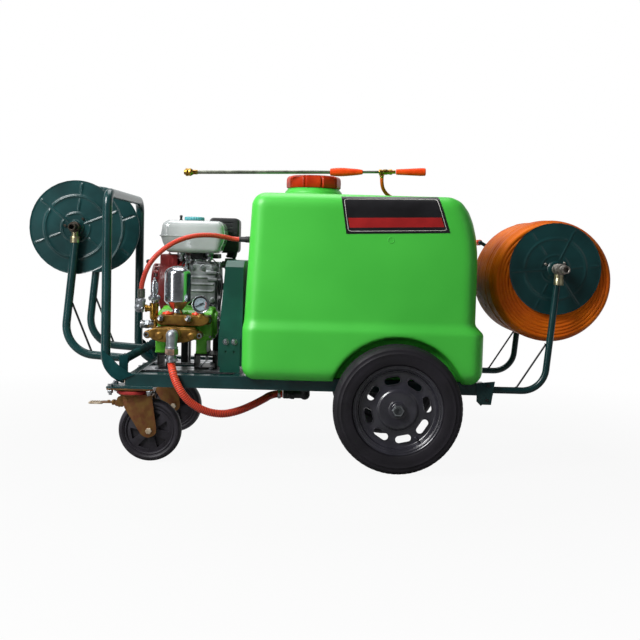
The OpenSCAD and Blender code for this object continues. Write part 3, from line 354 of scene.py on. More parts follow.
def sweep(bm, path, radius, sides, mat=0, closed=False, uv=None):
    """Sweeps a circle along path. radius may be one number or one for each point."""
    path = [Vector(p) for p in path]
    n = len(path)
    radii = radius if isinstance(radius, (list, tuple)) else [radius] * n
    heads = []
    for i in range(n):
        a = path[(i - 1) % n] if closed or i else path[0]
        b = path[(i + 1) % n] if closed or i < n - 1 else path[-1]
        heads.append((b - a).normalized())
    side = heads[0].orthogonal().normalized()
    rings = []
    for i in range(n):
        side = (side - heads[i] * side.dot(heads[i])).normalized()
        other = heads[i].cross(side)
        rings.append([bm.verts.new(path[i] + radii[i] * (math.cos(math.tau * k / sides) * side
                      + math.sin(math.tau * k / sides) * other)) for k in range(sides)])
    for i in range(n if closed else n - 1):
        low, high = rings[i], rings[(i + 1) % n]
        for k in range(sides):
            m = (k + 1) % sides
            face = bm.faces.new((low[k], low[m], high[m], high[k]))
            face.material_index = mat
            if uv is not None:
                for loop, (u, v) in zip(face.loops, ((k, i), (k + 1, i), (k + 1, i + 1), (k, i + 1))):
                    loop[uv].uv = (u / sides, v / n)
    if not closed:
        bm.faces.new(rings[0][::-1]).material_index = mat
        bm.faces.new(rings[-1]).material_index = mat

def pipe(bm, points, count, radius, sides):
    """A round bar along a smooth line through points, in count steps."""
    sweep(bm, along_path(points, count)[0], radius, sides)

def ball(bm, at, radius, round_steps, up_steps):
    """A sphere round a point."""
    bmesh.ops.create_uvsphere(bm, u_segments=round_steps, v_segments=up_steps, radius=radius,
        matrix=Matrix.Translation(at))

def block(bm, low, high, edge, turn=None, about=None):
    """A block with rounded edges. turn is (axis, degrees), about its centre or a point."""
    made = bmesh.ops.create_cube(bm, size=1.0)["verts"]
    size = [b - a for a, b in zip(low, high)]
    middle = Vector([(a + b) / 2 for a, b in zip(low, high)])
    for v in made:
        v.co = Vector([c * s for c, s in zip(v.co, size)]) + middle
    if edge > 0:
        edges = list({e for v in made for e in v.link_edges})
        done = bmesh.ops.bevel(bm, geom=edges, offset=min(edge, min(size) * 0.45), segments=2, profile=0.6,
            affect="EDGES", clamp_overlap=True)
        made = list({v for f in done["faces"] for v in f.verts} | {v for v in made if v.is_valid})
    if turn:
        centre = Vector(about) if about is not None else middle
        spin = Matrix.Rotation(math.radians(turn[1]), 3, Vector(turn[0]))
        for v in made:
            v.co = spin @ (v.co - centre) + centre

def prism(bm, outline, low, high, across="y", edge=1.0):
    """Extrudes an outline from low to high along an axis, with rounded edges."""
    ways = {"x": lambda a, b, c: (c, a, b), "y": lambda a, b, c: (a, c, b), "z": lambda a, b, c: (a, b, c)}
    put = ways[across]
    face = bm.faces.new([bm.verts.new(put(a, b, low)) for a, b in outline])
    base = list(face.verts)
    grown = bmesh.ops.extrude_face_region(bm, geom=[face])["geom"]
    tops = [v for v in grown if isinstance(v, bmesh.types.BMVert)]
    shift = Vector(put(0, 0, high)) - Vector(put(0, 0, low))
    for v in tops:
        v.co += shift
    if edge > 0:
        walls = {f for v in base + tops for f in v.link_faces}
        rims = [e for e in {e for f in walls for e in f.edges}
                if all(v in base for v in e.verts) or all(v in tops for v in e.verts)]
        bmesh.ops.bevel(bm, geom=rims, offset=edge, segments=2, profile=0.6, affect="EDGES",
            clamp_overlap=True)

def rectangle(low, high):
    """The four corners of a rectangle from low to high."""
    (a, b), (c, d) = low, high
    return [(a, b), (c, b), (c, d), (a, d)]

def round_outline(points, radius, steps):
    """Rounds the corners of a closed outline; radius may be one per corner."""
    out = []
    n = len(points)
    for i in range(n):
        r = radius[i] if isinstance(radius, (list, tuple)) else radius
        a, b, c = (Vector(points[(i + k) % n]).to_2d() for k in (-1, 0, 1))
        u, v = a - b, c - b
        reach = min(r, u.length * 0.49, v.length * 0.49)
        p, q = b + u.normalized() * reach, b + v.normalized() * reach
        for k in range(steps + 1):
            t = k / steps
            out.append(tuple((1 - t) ** 2 * p + 2 * t * (1 - t) * b + t * t * q))
    return out

# %% Fasteners
def bolt(bm, at, axis, across, washer=True, dome=False, shank=0.0):
    """A bolt head on a washer: hexagonal, or domed, with an optional shank end."""
    r = across / 2 / math.cos(math.pi / 6)
    h = across * 0.42
    base = 0.0
    if washer:
        turned(bm, [(across * 0.68, 0), (across * 0.68, 1.4), (across * 0.3, 1.6)], at, axis, 24)
        base = 1.5
    if dome:
        turned(bm, [(r, base), (r * 0.96, base + h * 0.4), (r * 0.7, base + h * 0.85),
            (r * 0.3, base + h)], at, axis, 24)
    else:
        turned(bm, [(r, base), (r, base + h * 0.82), (r * 0.84, base + h)], at, axis, 6)
    if shank:
        turned(bm, [(across * 0.29, base), (across * 0.29, base + h + shank - 1),
            (across * 0.22, base + h + shank)], at, axis, 16)

def bolt_circle(bm, centre, axis, radius, count, start, across):
    """Bolt heads evenly round an axis along X or Y, the first at start degrees."""
    for k in range(count):
        a = math.radians(start + 360 * k / count)
        c, s = radius * math.cos(a), radius * math.sin(a)
        bolt(bm, Vector(centre) + Vector((0, c, s) if axis.x else (c, 0, s)), axis, across, washer=False)

# %% Finishing a piece
def piece(bm, name, finishes, gone=(), body="cart", *, smooth, edge=0.0):
    """Turns a mesh in millimetres into an object in metres that rides on a body."""
    for v in bm.verts:
        v.co *= MM
    bmesh.ops.recalc_face_normals(bm, faces=bm.faces)
    mesh = bpy.data.meshes.new(name)
    bm.to_mesh(mesh)
    bm.free()
    for one in finishes if isinstance(finishes, list) else [finishes]:
        mesh.materials.append(one)
    mesh.shade_smooth()
    mesh.set_sharp_from_angle(angle=math.radians(smooth))
    made = bpy.data.objects.new(name, mesh)
    scene.collection.objects.link(made)
    if edge:
        rounding = made.modifiers.new("rounded_edges", "BEVEL")
        rounding.width = edge * MM
        rounding.segments = 2
        rounding.limit_method = "ANGLE"
        rounding.angle_limit = math.radians(40)
        rounding.harden_normals = True
    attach(made, body)
    for node in [gone] if isinstance(gone, str) else gone:
        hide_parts(node)
    return made

def dressed(node, finishes, edge):
    """A CAD piece's own shape with its facets joined and its edges rounded."""
    bm = bmesh.new()
    bm.from_mesh(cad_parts[node].data)
    bmesh.ops.remove_doubles(bm, verts=bm.verts, dist=2e-5)
    bmesh.ops.dissolve_limit(bm, angle_limit=math.radians(0.8), verts=bm.verts, edges=bm.edges)
    for v in bm.verts:
        v.co /= MM
    for f in bm.faces:
        f.material_index = 0
    made = piece(bm, node + "_finished", finishes, node, smooth=32, edge=edge)
    for extra in [a.name for a in made.data.attributes if a.name == "custom_normal"]:
        made.data.attributes.remove(made.data.attributes[extra])
    return made

print("tools ready")

# %% [markdown]
# ## Studio
# The floor and the world show white to the camera, as a paper sweep does, while
# other rays see a moderate soft light. Reflections see the white sweep only where it
# stands: behind the object, and low down. The shadow under the wheels stays faint,
# and the floor fades to pure white farther out. One large softbox at the upper left
# models the form, a tall strip beside it draws the long highlights on tubes and
# chrome, a top light lifts the upper faces and a weak one opens the shadows.

# %% Floor and world
def emptied(owner):
    """The node tree of a material or world, with no nodes in it."""
    owner.use_nodes = True
    owner.node_tree.nodes.clear()
    return owner.node_tree

paper = bpy.data.materials.new("paper_sweep")
tree = emptied(paper)
rays = add(tree, "LightPath").outputs
place = add(tree, "TexCoord").outputs["Object"]
behind = add(tree, "MapRange", {"Value": add(tree, "SeparateXYZ", {"Vector": place}).outputs["Y"],
                                "From Min": -0.2, "From Max": 0.7, "To Min": 0.0, "To Max": 1.0})
seen = add(tree, "Math", {0: rays["Is Glossy Ray"], 1: behind}, operation="MULTIPLY")
for kind in ("Is Camera Ray", "Is Transmission Ray"):
    seen = add(tree, "Math", {0: rays[kind], 1: seen}, operation="MAXIMUM")
spot = add(tree, "VectorMath", {0: place}, operation="LENGTH").outputs["Value"]
fade = add(tree, "MapRange", {"Value": spot, "From Min": 1.0, "From Max": 2.4, "To Min": 0.93, "To Max": 1.0})
share = add(tree, "Math", {0: seen, 1: fade}, operation="MULTIPLY")
add(tree, "OutputMaterial", {"Surface": add(tree, "MixShader", {
    "Fac": share, 1: add(tree, "BsdfDiffuse", {"Color": linear("#8E8E8C")}),
    2: add(tree, "Emission", {"Color": linear("#FFFFFF"), "Strength": 1.0})})})

bm = bmesh.new()
bmesh.ops.create_grid(bm, x_segments=8, y_segments=8, size=14.0)
floor_mesh = bpy.data.meshes.new("floor")
bm.to_mesh(floor_mesh)
bm.free()
floor_mesh.materials.append(paper)
floor = bpy.data.objects.new("floor", floor_mesh)
scene.collection.objects.link(floor)

scene.world = bpy.data.worlds.new("studio")
tree = emptied(scene.world)
rays = add(tree, "LightPath").outputs
way = add(tree, "SeparateXYZ", {"Vector": add(tree, "TexCoord").outputs["Generated"]}).outputs
behind = add(tree, "MapRange", {"Value": way["Y"], "From Min": 0.1, "From Max": 0.55, "To Min": 0.0,
                                "To Max": 1.0}, interpolation_type="SMOOTHSTEP")
low = add(tree, "MapRange", {"Value": way["Z"], "From Min": 0.35, "From Max": 0.75, "To Min": 1.0,
                             "To Max": 0.0}, interpolation_type="SMOOTHSTEP")
sweep_part = add(tree, "Math", {0: behind, 1: low}, operation="MULTIPLY")
seen = add(tree, "Math", {0: rays["Is Glossy Ray"], 1: sweep_part}, operation="MULTIPLY")
for kind in ("Is Camera Ray", "Is Transmission Ray"):
    seen = add(tree, "Math", {0: rays[kind], 1: seen}, operation="MAXIMUM")
# The room is 0.2 bright, and 0.11 in reflections, so that metal keeps its contrast
dimmed = add(tree, "Math", {0: rays["Is Glossy Ray"], 1: -0.09, 2: 0.2}, operation="MULTIPLY_ADD")
add(tree, "OutputWorld", {"Surface": add(tree, "MixShader", {
    "Fac": seen, 1: add(tree, "Background", {"Color": linear("#F2F4F7"), "Strength": dimmed}),
    2: add(tree, "Background", {"Color": linear("#FFFFFF"), "Strength": 1.0})})})

# %% Softboxes
def softbox(name, place, target, size, watts):
    """An area light of size (width, height) at place that faces target."""
    lamp = bpy.data.lights.new(name, "AREA")
    lamp.shape, lamp.energy = "RECTANGLE", watts
    lamp.size, lamp.size_y = size
    made = bpy.data.objects.new(name, lamp)
    made.location = place
    made.rotation_euler = (Vector(target) - Vector(place)).to_track_quat("-Z", "Y").to_euler()
    scene.collection.objects.link(made)

softbox("key", (-1.9, -1.75, 2.4), (-0.25, 0, 0.5), (1.2, 1.2), 108)
softbox("strip", (-2.0, -1.9, 0.95), (-0.2, -0.2, 0.55), (0.35, 1.7), 12)
softbox("fill", (3.4, -3.0, 1.8), (0, 0, 0.4), (2.4, 2.4), 9)
softbox("top", (-0.4, 0.6, 3.1), (-0.1, 0, 0.5), (1.9, 1.9), 54)
scene.view_settings.view_transform = "Standard"
print("studio ready")

# %% [markdown]
# ## Hoses
# The camera and the hoses are settled first. Each route is the same list of points
# as in the CAD source, in millimetres, and a smooth line runs through them.

# %% Hose routes
SUCTION = [(-455, -282, 317.4), (-455, -282, 310), (-451.5, -290, 299), (-446, -306, 288), (-439, -313, 270),
    (-428, -319, 249), (-413, -321, 225), (-392, -314, 200), (-362, -302, 178), (-326, -284, 162),
    (-286, -260, 156), (-244, -228, 162), (-204, -196, 176), (-168, -163, 192), (-152, -140, 199.5),
    (-134, -124, 203.2), (-121, -120.3, 204), (-108.7, -120, 204)]
RETURN = [(-572, -175, 537.3), (-572, -175, 547), (-569, -174.6, 566), (-560, -172.5, 597),
    (-545, -166, 629), (-520, -154, 660), (-486, -140, 688), (-448, -122, 708), (-406, -102, 720),
    (-364, -82, 723), (-326, -62, 719.5), (-300, -47, 714.5), (-284, -40.6, 712), (-270.3, -40, 712)]
LANCE = [(200.4, -82, 926.6), (200.5, -81.9, 916.5), (202.2, -77.5, 904.5), (207, -66, 891), (218, -46, 878),
    (234, -20, 868.5), (254, 8, 864.6), (278, 38, 864.4), (306, 68, 864.4), (338, 96, 864.4),
    (372, 122, 864.4), (404, 146, 864), (433.1, 168, 854.1), (457.1, 190, 832.3), (475, 212, 802.4),
    (487.1, 232, 768.9), (512, 248, 738), (524, 262, 706), (541, 270, 678), (561, 266, 657), (577, 250, 646),
    (584.5, 233, 641.5), (586, 221, 640), (586, 215.6, 640)]

def hose_piece(node, route, diameter, skin, rib=0.0, depth=0.0):
    """A hose along its route. With a rib pitch it is corrugated, otherwise smooth."""
    _, length = along_path(route, 10)
    count = int(length / rib * 4) + 1 if rib else int(length / 4)
    line, length = along_path(route, count)
    if rib:
        radii = [diameter / 2 - depth * (0.5 - 0.5 * math.cos(math.tau * i / 4)) for i in range(count)]
    else:
        radii = diameter / 2
    bm = bmesh.new()
    uv = bm.loops.layers.uv.new("along")
    sweep(bm, line, radii, 20, uv=uv)
    per_turn = math.pi * diameter
    for f in bm.faces:
        for loop in f.loops:
            loop[uv].uv = (loop[uv].uv[0] * round(per_turn / 4), loop[uv].uv[1] * length / 4)
    made = piece(bm, node + "_pvc", skin, node, smooth=60)
    print(node, round(length), "mm long")

hose_piece("suction_hose", SUCTION, 25.4, SUCTION_PVC, 6.0, 1.4)
hose_piece("return_hose", RETURN, 16, RETURN_PVC)
hose_piece("lance_hose", LANCE, 12, HOSE_ORANGE)

# %% [markdown]
# ## Tank
# The tank leaves its mould with broad rounded edges and walls that bow very
# slightly. It is made here from the same two hulls as the CAD solid. They are joined
# and cut sharp, then remeshed to an even 6 mm skin and smoothed, which rolls each
# edge over as the plastic does.

# %% Solids that are joined and cut
def solid(bm):
    """A temporary object, in millimetres, from a closed mesh."""
    bmesh.ops.recalc_face_normals(bm, faces=bm.faces)
    mesh = bpy.data.meshes.new("solid")
    bm.to_mesh(mesh)
    bm.free()
    made = bpy.data.objects.new("solid", mesh)
    scene.collection.objects.link(made)
    return made

def applied(obj):
    """Replaces the object's mesh with its modifiers' result."""
    bpy.context.view_layer.update()
    graph = bpy.context.evaluated_depsgraph_get()
    mesh = bpy.data.meshes.new_from_object(obj.evaluated_get(graph))
    obj.modifiers.clear()
    obj.data = mesh
    return obj

def combined(a, bm, how="DIFFERENCE"):
    """Cuts the solid in bm from object a, or joins the two."""
    b = solid(bm)
    step = a.modifiers.new("combine", "BOOLEAN")
    step.object, step.operation, step.solver = b, how, "EXACT"
    applied(a)
    bpy.data.objects.remove(b)
    return a

def hull_of(balls):
    """The convex hull of balls (x, y, z, radius, flat); a flat one is a level disc."""
    steps = 32
    bm = bmesh.new()
    for x, y, z, r, flat in balls:
        for j in range(1 if flat else steps // 2 + 1):
            lat = 0 if flat else math.pi * (j / (steps // 2) - 0.5)
            for k in range(steps):
                a = math.tau * k / steps
                bm.verts.new((x + r * math.cos(lat) * math.cos(a), y + r * math.cos(lat) * math.sin(a),
                              z + r * math.sin(lat)))
    bmesh.ops.remove_doubles(bm, verts=bm.verts, dist=1e-3)
    done = bmesh.ops.convex_hull(bm, input=bm.verts)
    bmesh.ops.delete(bm, geom=[g for g in done["geom_interior"] if isinstance(g, bmesh.types.BMVert)],
                     context="VERTS")
    bmesh.ops.dissolve_limit(bm, angle_limit=math.radians(0.5), verts=bm.verts, edges=bm.edges)
    bmesh.ops.triangulate(bm, faces=bm.faces)
    return bm

def skinned(obj, voxel, rounds):
    """Remeshes a solid to an even skin and rolls its edges over."""
    skin = obj.modifiers.new("skin", "REMESH")
    skin.mode, skin.voxel_size = "VOXEL", voxel
    soft = obj.modifiers.new("soft", "SMOOTH")
    soft.factor, soft.iterations = 0.5, rounds
    return applied(obj)

def taken(obj):
    """The mesh of a temporary object as a bmesh; the object goes."""
    bm = bmesh.new()
    bm.from_mesh(obj.data)
    bpy.data.objects.remove(obj)
    return bm

# %% Tank body
CAP_AT = (-25, 0, 0)
# The walls' corner radius, how far the corners' centres of band and body stand from
# y = 0, and the level at which the walls bend over into the top
R = 44
BAND_Y, BODY_Y, BEND_Z = 345 - R, 333 - R, 857 - R
band = [(x, s * BAND_Y, z, R, flat) for s in (-1, 1) for x in (-233 + R, 520 - R)
        for z, flat in ((273 + R, False), (433, True))]
waist = [(x, s * BODY_Y, 460, R, True) for s in (-1, 1) for x in (-228 + R, 495 - R)]
crown = [(-212 + R, s * BODY_Y, BEND_Z, R, False) for s in (-1, 1)]
crown += [(397 + 54 * math.cos(math.radians(a)), s * BODY_Y, 640 + 173 * math.sin(math.radians(a)), R, False)
          for s in (-1, 1) for a in range(0, 91, 15)]
upper = hull_of([(x, y, z + 1, r, flat) for x, y, z, r, flat in waist] + waist + crown)
tank = combined(solid(hull_of(band + waist)), upper, "UNION")
bm = bmesh.new()
hollow(bm, [(107, 846), (107, 855), (96, 876), (60, 876), (60, 846)], CAP_AT, Z, 96)
tank = combined(tank, bm, "UNION")
for side in (-1, 1):
    bm = bmesh.new()
    turned(bm, [(209, 0), (221, 60)], (255, side * 290, 200), side * Y, 128)
    tank = combined(tank, bm)
bm = bmesh.new()
block(bm, (-300, -303, 200), (600, 303, 280.3), 0)
tank = combined(tank, bm)
bm = taken(skinned(tank, 6.0, 4))
for v in bm.verts:
    x, y, z = v.co
    v.co += v.normal * 0.5 * math.sin(x * 0.011 + 1.3) * math.sin(z * 0.013 + 0.4) * math.cos(y * 0.009)
ring = [(221 + 9 * math.cos(t), 718 + 9 * math.sin(t)) for t in (math.tau * k / 24 for k in range(24))]
neck = [(97, 872), (95.5, 877), (91.5, 881.5), (88, 885), (86.5, 888), (82, 888), (82, 890)]
for turn_z in (896, 906, 916):
    neck += [(82, turn_z - 3), (84, turn_z - 1), (84, turn_z + 1), (82, turn_z + 3)]
neck += [(82, 925), (81, 926), (76, 926), (76, 872)]
hollow(bm, neck, CAP_AT, Z, 96)
sweep(bm, [(x, -333.2, z) for x, z in ring], 1.1, 8, closed=True)
tank_piece = piece(bm, "tank_moulding", TANK_GREEN, "tank", smooth=60)
print("tank faces", len(tank_piece.data.polygons))

# %% [markdown]
# The near wall carries a name plate, left blank: a thin black vinyl sheet with a
# fine pale border and one red band. It follows the wall and rolls over the top edge.

# %% Plate on the near wall
CORNERS = [(83, 734), (402, 745), (364, 854), (65, 848)]

def on_wall(u, v, lift):
    """A point of the plate: u runs along it, v up it, lift stands off the wall."""
    low = Vector(CORNERS[0]).lerp(Vector(CORNERS[1]), u)
    high = Vector(CORNERS[3]).lerp(Vector(CORNERS[2]), u)
    x, z = low.lerp(high, v)
    if z <= BEND_Z:
        return (x, -BODY_Y - R - lift, z)
    a = math.asin(min(0.98, (z - BEND_Z) / R))
    return (x, -BODY_Y - (R + lift) * math.cos(a), BEND_Z + (R + lift) * math.sin(a))

def wall_patch(bm, u0, u1, v0, v1, lift, mat, nu, nv):
    """A closed sheet over part of the plate, from just inside the wall to lift."""
    layers = []
    for level in (lift - 1.6, lift):
        layers.append([[bm.verts.new(on_wall(u0 + (u1 - u0) * i / nu, v0 + (v1 - v0) * j / nv, level))
                        for i in range(nu + 1)] for j in range(nv + 1)])
    back, front = layers
    faces = []
    for j in range(nv):
        for i in range(nu):
            for g in (back, front):
                faces.append((g[j][i], g[j][i + 1], g[j + 1][i + 1], g[j + 1][i]))
    for i in range(nu):
        for j in (0, nv):
            faces.append((back[j][i], back[j][i + 1], front[j][i + 1], front[j][i]))
    for j in range(nv):
        for i in (0, nu):
            faces.append((back[j][i], back[j + 1][i], front[j + 1][i], front[j][i]))
    for f in faces:
        bm.faces.new(f).material_index = mat

bm = bmesh.new()
wall_patch(bm, 0, 1, 0, 1, 0.9, 0, 40, 24)
wall_patch(bm, 0.04, 0.96, 0.165, 0.43, 1.1, 2, 40, 8)
border = round_outline(rectangle((0.025, 0.07), (0.975, 0.93)), 0.05, 6)
fine = []
for (a, b), (c, d) in zip(border, border[1:] + border[:1]):
    gap = math.hypot(c - a, d - b)
    n = max(1, int(gap / 0.02))
    fine += [(a + (c - a) * k / n, b + (d - b) * k / n) for k in range(n)]
sweep(bm, [on_wall(u, v, 0.7) for u, v in fine], 0.8, 6, 1, closed=True)
piece(bm, "wall_plate", [PLATE_BLACK, PLATE_PALE, PLATE_RED], smooth=40)

# %% [markdown]
# ## Filler cap and fittings
# The screw cap is ten-sided for the fingers: flat facets with a narrow groove at each
# corner, a raised rim and a flat middle with a moulded ring.

# %% Filler cap
def lobed(a, r, h):
    """Ten flat facets round the cap, with a groove at each corner."""
    if r < 70:
        return 1.0
    phase = (a / math.tau * 10) % 1.0 - 0.5
    groove = math.exp(-(abs(abs(phase) - 0.5) / 0.055) ** 2)
    return 0.968 / math.cos(phase * math.tau / 10) - 0.075 * groove

bm = bmesh.new()
hollow(bm, [(83.5, 889.5), (90, 889.5), (92, 892), (92.5, 905), (92, 918), (90, 924), (85, 928.5),
    (78, 930.5), (74, 930.5), (71, 928.8), (66, 927.6), (48, 927.6), (46, 929.2), (42, 929.2), (40, 927.6),
    (0, 927.2), (0, 921), (83.5, 921)], CAP_AT, Z, 240, wave=lobed)
piece(bm, "filler_cap_moulding", CAP_RED, "tank_cap", "filler_cap", smooth=45)

bm = bmesh.new()
hollow(bm, [(82.4, 888.1), (86.6, 888.1), (87, 888.7), (86.6, 889.3), (82.4, 889.3)], CAP_AT, Z, 96)
piece(bm, "filler_seal", BLACK_PLASTIC, smooth=45)

# %% Tank fittings
bm = bmesh.new()
hollow(bm, [(64, 792), (66, 790), (66, 909), (78, 912), (78, 915), (66, 915), (64, 913)], CAP_AT, Z, 72)
turned(bm, [(65, 790), (65, 792.5)], CAP_AT, Z, 72)
for z in range(800, 906, 8):
    hollow(bm, [(65.6, z), (67, z + 1), (67, z + 3), (65.6, z + 4)], CAP_AT, Z, 72)
PORT = Vector((-36, -120, 204))
hollow(bm, [(9, 0), (17, 0), (17, 34), (22, 36), (22, 42), (18, 44), (18, 76), (9, 76)], PORT, Z, 40)
ball(bm, PORT, 17.4, 40, 24)
turned(bm, [(13, 0), (13, 30)], PORT - 10 * X, -X, 32)
turned(bm, [(17, 0), (17.5, 2), (17.5, 10), (17, 12)], PORT - 34 * X, -X, 6)
turned(bm, [(15, 0), (15.5, 3), (14.4, 6), (15.5, 9), (14.4, 12), (15.5, 15), (14.4, 18), (15.2, 21),
    (14, 25.5)], PORT - 46 * X, -X, 40)
turned(bm, [(15, 0), (15, 4), (12.5, 5), (12.5, 12)], (-220, -40, 712), -X, 6)
turned(bm, [(11, 0), (11.4, 2), (10.2, 5), (11.2, 8), (10, 11), (10.8, 14), (9.4, 18), (8.6, 38)],
    (-232, -40, 712), -X, 32)
piece(bm, "tank_fittings_moulded", BLACK_PLASTIC, "tank_fittings", smooth=40)

# %% [markdown]
# ## Lance
# A spray lance lies across the tank: a brass nozzle, a plated steel tube, a grip, a
# valve with a short branch down to the hose, and a rear grip that twists to open the
# valve. The whole lance tilts up slightly to the right.

# %% Lance
LANCE_AT = Vector((-28, -82, 939.2))
LANCE_WAY = Vector((math.cos(math.radians(1.5)), 0, math.sin(math.radians(1.5))))

def on_lance(bm, edge, steps=32, wave=None):
    """A solid part turned round the lance's own axis."""
    turned(bm, edge, LANCE_AT, LANCE_WAY, steps, wave=wave)

bm = bmesh.new()
on_lance(bm, [(5, -426), (8, -425), (8.5, -421), (12, -420), (13, -418.5), (13, -412), (12, -410.5),
    (12, -409), (13, -407.5), (13, -403), (11.5, -401.5), (8.5, -396), (7.6, -394),
    (7.6, -382), (6.6, -380)])
on_lance(bm, [(8.5, 218), (9, 219), (9, 226), (7.6, 227.5), (7.6, 232), (9, 233.5), (9, 244), (8, 246),
    (8, 252), (9, 254), (9, 261), (8, 262), (6, 262.5), (6, 273)], 24)
stub = LANCE_AT + LANCE_WAY * 228
turned(bm, [(7, 0), (7, 8), (8, 8.5), (8, 13.5), (7.4, 14)], stub, -Z, 6)
turned(bm, [(6.6, 13), (7, 14), (6.2, 16), (7, 18), (6.2, 20)], stub, -Z, 24)
piece(bm, "lance_brass", TURNED_BRASS, "lance_fittings", smooth=35)

bm = bmesh.new()
on_lance(bm, [(6, -381), (6, 57.5)], 24)
on_lance(bm, [(4.5, 164), (4.5, 219)], 20)
piece(bm, "lance_tube_plated", LANCE_STEEL, "lance_tube", smooth=35)

def tapered(first, last, radii):
    """A grip's profile between two stations: radii spaced evenly, with shallow rings."""
    rings = 24
    out = [(radii[0] - 2.5, first)]
    for k in range(rings + 1):
        at = k / rings * (len(radii) - 1)
        i = min(int(at), len(radii) - 2)
        r = radii[i] + (radii[i + 1] - radii[i]) * (at - i) - (0.35 if k % 2 else 0.0)
        out.append((r, first + 2 + (last - first - 4) * k / rings))
    return out + [(radii[-1] - 2.5, last)]

bm = bmesh.new()
on_lance(bm, tapered(57, 165, (12, 14, 14.6, 14.2, 13, 11.8, 10.4, 8)), 48, wave=flutes(8, 0.025, 7))
piece(bm, "lance_grip_front", GRIP_ORANGE, "lance_front_grip", smooth=40)

bm = bmesh.new()
on_lance(bm, tapered(274.4, 372.3, (9.6, 10.4, 11, 11.8, 12.6, 13.4, 13)), 48, wave=flutes(8, 0.025, 7))
piece(bm, "lance_grip_rear", GRIP_ORANGE, "lance_rear_grip", "lance_twist", smooth=40)
print("tank, cap and lance ready")

# %% [markdown]
# ## Frame
# The rails, cross members and deck are square tube and flat bar, cut, welded and
# powder coated. Their CAD shapes are right, so each keeps its shape and only gets
# rounded edges, as drawn tube has. Small weld beads lie where two pieces meet.

# %% Frame pieces
def recoloured(node, new):
    """Gives a CAD piece that keeps its shape a better finish."""
    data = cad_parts[node].data
    if not data.materials:
        data.materials.append(new)
    for i in range(len(data.materials)):
        data.materials[i] = new

dressed("side_rails", POWDER, 3.0)
dressed("frame_members", POWDER, 2.0)
deck = dressed("platform", [POWDER, ZINC], 1.2)
# The slats between the engine's stands are plated, the rest of the deck is painted
for face in deck.data.polygons:
    face.material_index = int(-0.566 < face.center.x < -0.262)
dressed("handle_braces", WORN_POWDER, 1.0)

# The slats are angle iron: each turns down along its near edge, under the deck
bm = bmesh.new()
for y in (-142, -84, 76, 134):
    block(bm, (-565.5, y - 24.8, 248), (-262.5, y - 22, 271.8), 0.6)
piece(bm, "slat_flanges", POWDER, smooth=30)
recoloured("push_handle", POWDER)
recoloured("axle", ZINC)

def weld(bm, points, radius, seed):
    """A weld bead: a thin rope with a ripple at every second point, 1.6 mm apart."""
    chance = random.Random(seed)
    run = sum((Vector(b) - Vector(a)).length for a, b in zip(points, points[1:]))
    line, _ = along_path(points, max(8, int(run / 1.6)))
    radii = [radius * (1 + 0.16 * (i % 2) + chance.uniform(-0.1, 0.1)) for i in range(len(line))]
    sweep(bm, line, radii, 8)

def ring_points(at, axis, radius, count=24):
    """A closed ring of points round an axis."""
    turn = Vector(axis).to_track_quat("Z", "Y")
    angles = [math.tau * k / count for k in range(count + 1)]
    return [Vector(at) + turn @ Vector((radius * math.cos(a), radius * math.sin(a), 0)) for a in angles]

bm = bmesh.new()
for side in (-1, 1):
    for k, x in enumerate((-205, 120, 390, 495)):
        for z in (241, 279):
            weld(bm, [(x - 15, side * 256, z), (x, side * 256, z), (x + 15, side * 256, z)], 2.0, k)
    for x0, x1, z in ((-654, -508, 239.8), (221, 289, 239.8)):
        weld(bm, [(x0 + 4, side * 296, z), ((x0 + x1) / 2, side * 296, z), (x1 - 4, side * 296, z)], 2.2, 5)
    weld(bm, [(-596, side * 257, 262), (-610, side * 266, 300), (-628, side * 266, 330)], 2.2, 9)
    weld(bm, ring_points((-607, side * 266, 322), Y, 15.4), 2.2, 11)
piece(bm, "weld_beads", POWDER, smooth=70)

# %% Caps in the open ends of the rails
bm = bmesh.new()
for side in (-1, 1):
    block(bm, (-598.5, side * 276 - 18, 242), (-594, side * 276 + 18, 278), 1.2)
piece(bm, "rail_end_caps", BLACK_PLASTIC, smooth=40)
print("frame ready")

# %% [markdown]
# ## Main wheels
# Each tyre is one turned profile: a blocky tread with two grooves round it and cuts
# across its shoulders, then a bellied sidewall with fine raised rings. The rim is a
# rolled barrel with stepped flanges and a pressed disc. Its eight slots are punched
# out of the disc, and each has a rolled lip that catches the light.

# %% Tyre and rim
AXLE_X, WHEEL_R, WHEEL_MID = 255, 200, 355
WHEEL_AT = (AXLE_X, 0, WHEEL_R)

def treaded(a, r, h):
    """Cuts across the tread's shoulders, at seventy-two to a turn."""
    if r < 191:
        return 1.0
    cut = (a / math.tau * 72) % 1.0
    return 1.0 - (0.003 if cut < 0.2 and abs(h - WHEEL_MID) > 17 else 0.0)

TREAD_HALF = [(126.2, 29.4), (129, 31.8), (133.5, 32.8), (136.6, 33.8), (139, 35.6), (139.8, 38),
    (143, 42.6), (152, 45), (164, 45.4), (172, 45), (174, 45.8), (175.5, 45.8), (177, 44.6), (184, 42.4),
    (186, 42.9), (187.4, 42.4), (190.5, 39), (193.5, 36.5), (197, 31), (199, 25), (199.8, 20.5), (196.6, 19),
    (196.6, 15.5), (199.9, 14), (200, 6), (196.8, 4.6), (196.8, 0)]
TYRE = [(r, WHEEL_MID + w) for r, w in TREAD_HALF] + [(r, WHEEL_MID - w) for r, w in TREAD_HALF[-2::-1]]

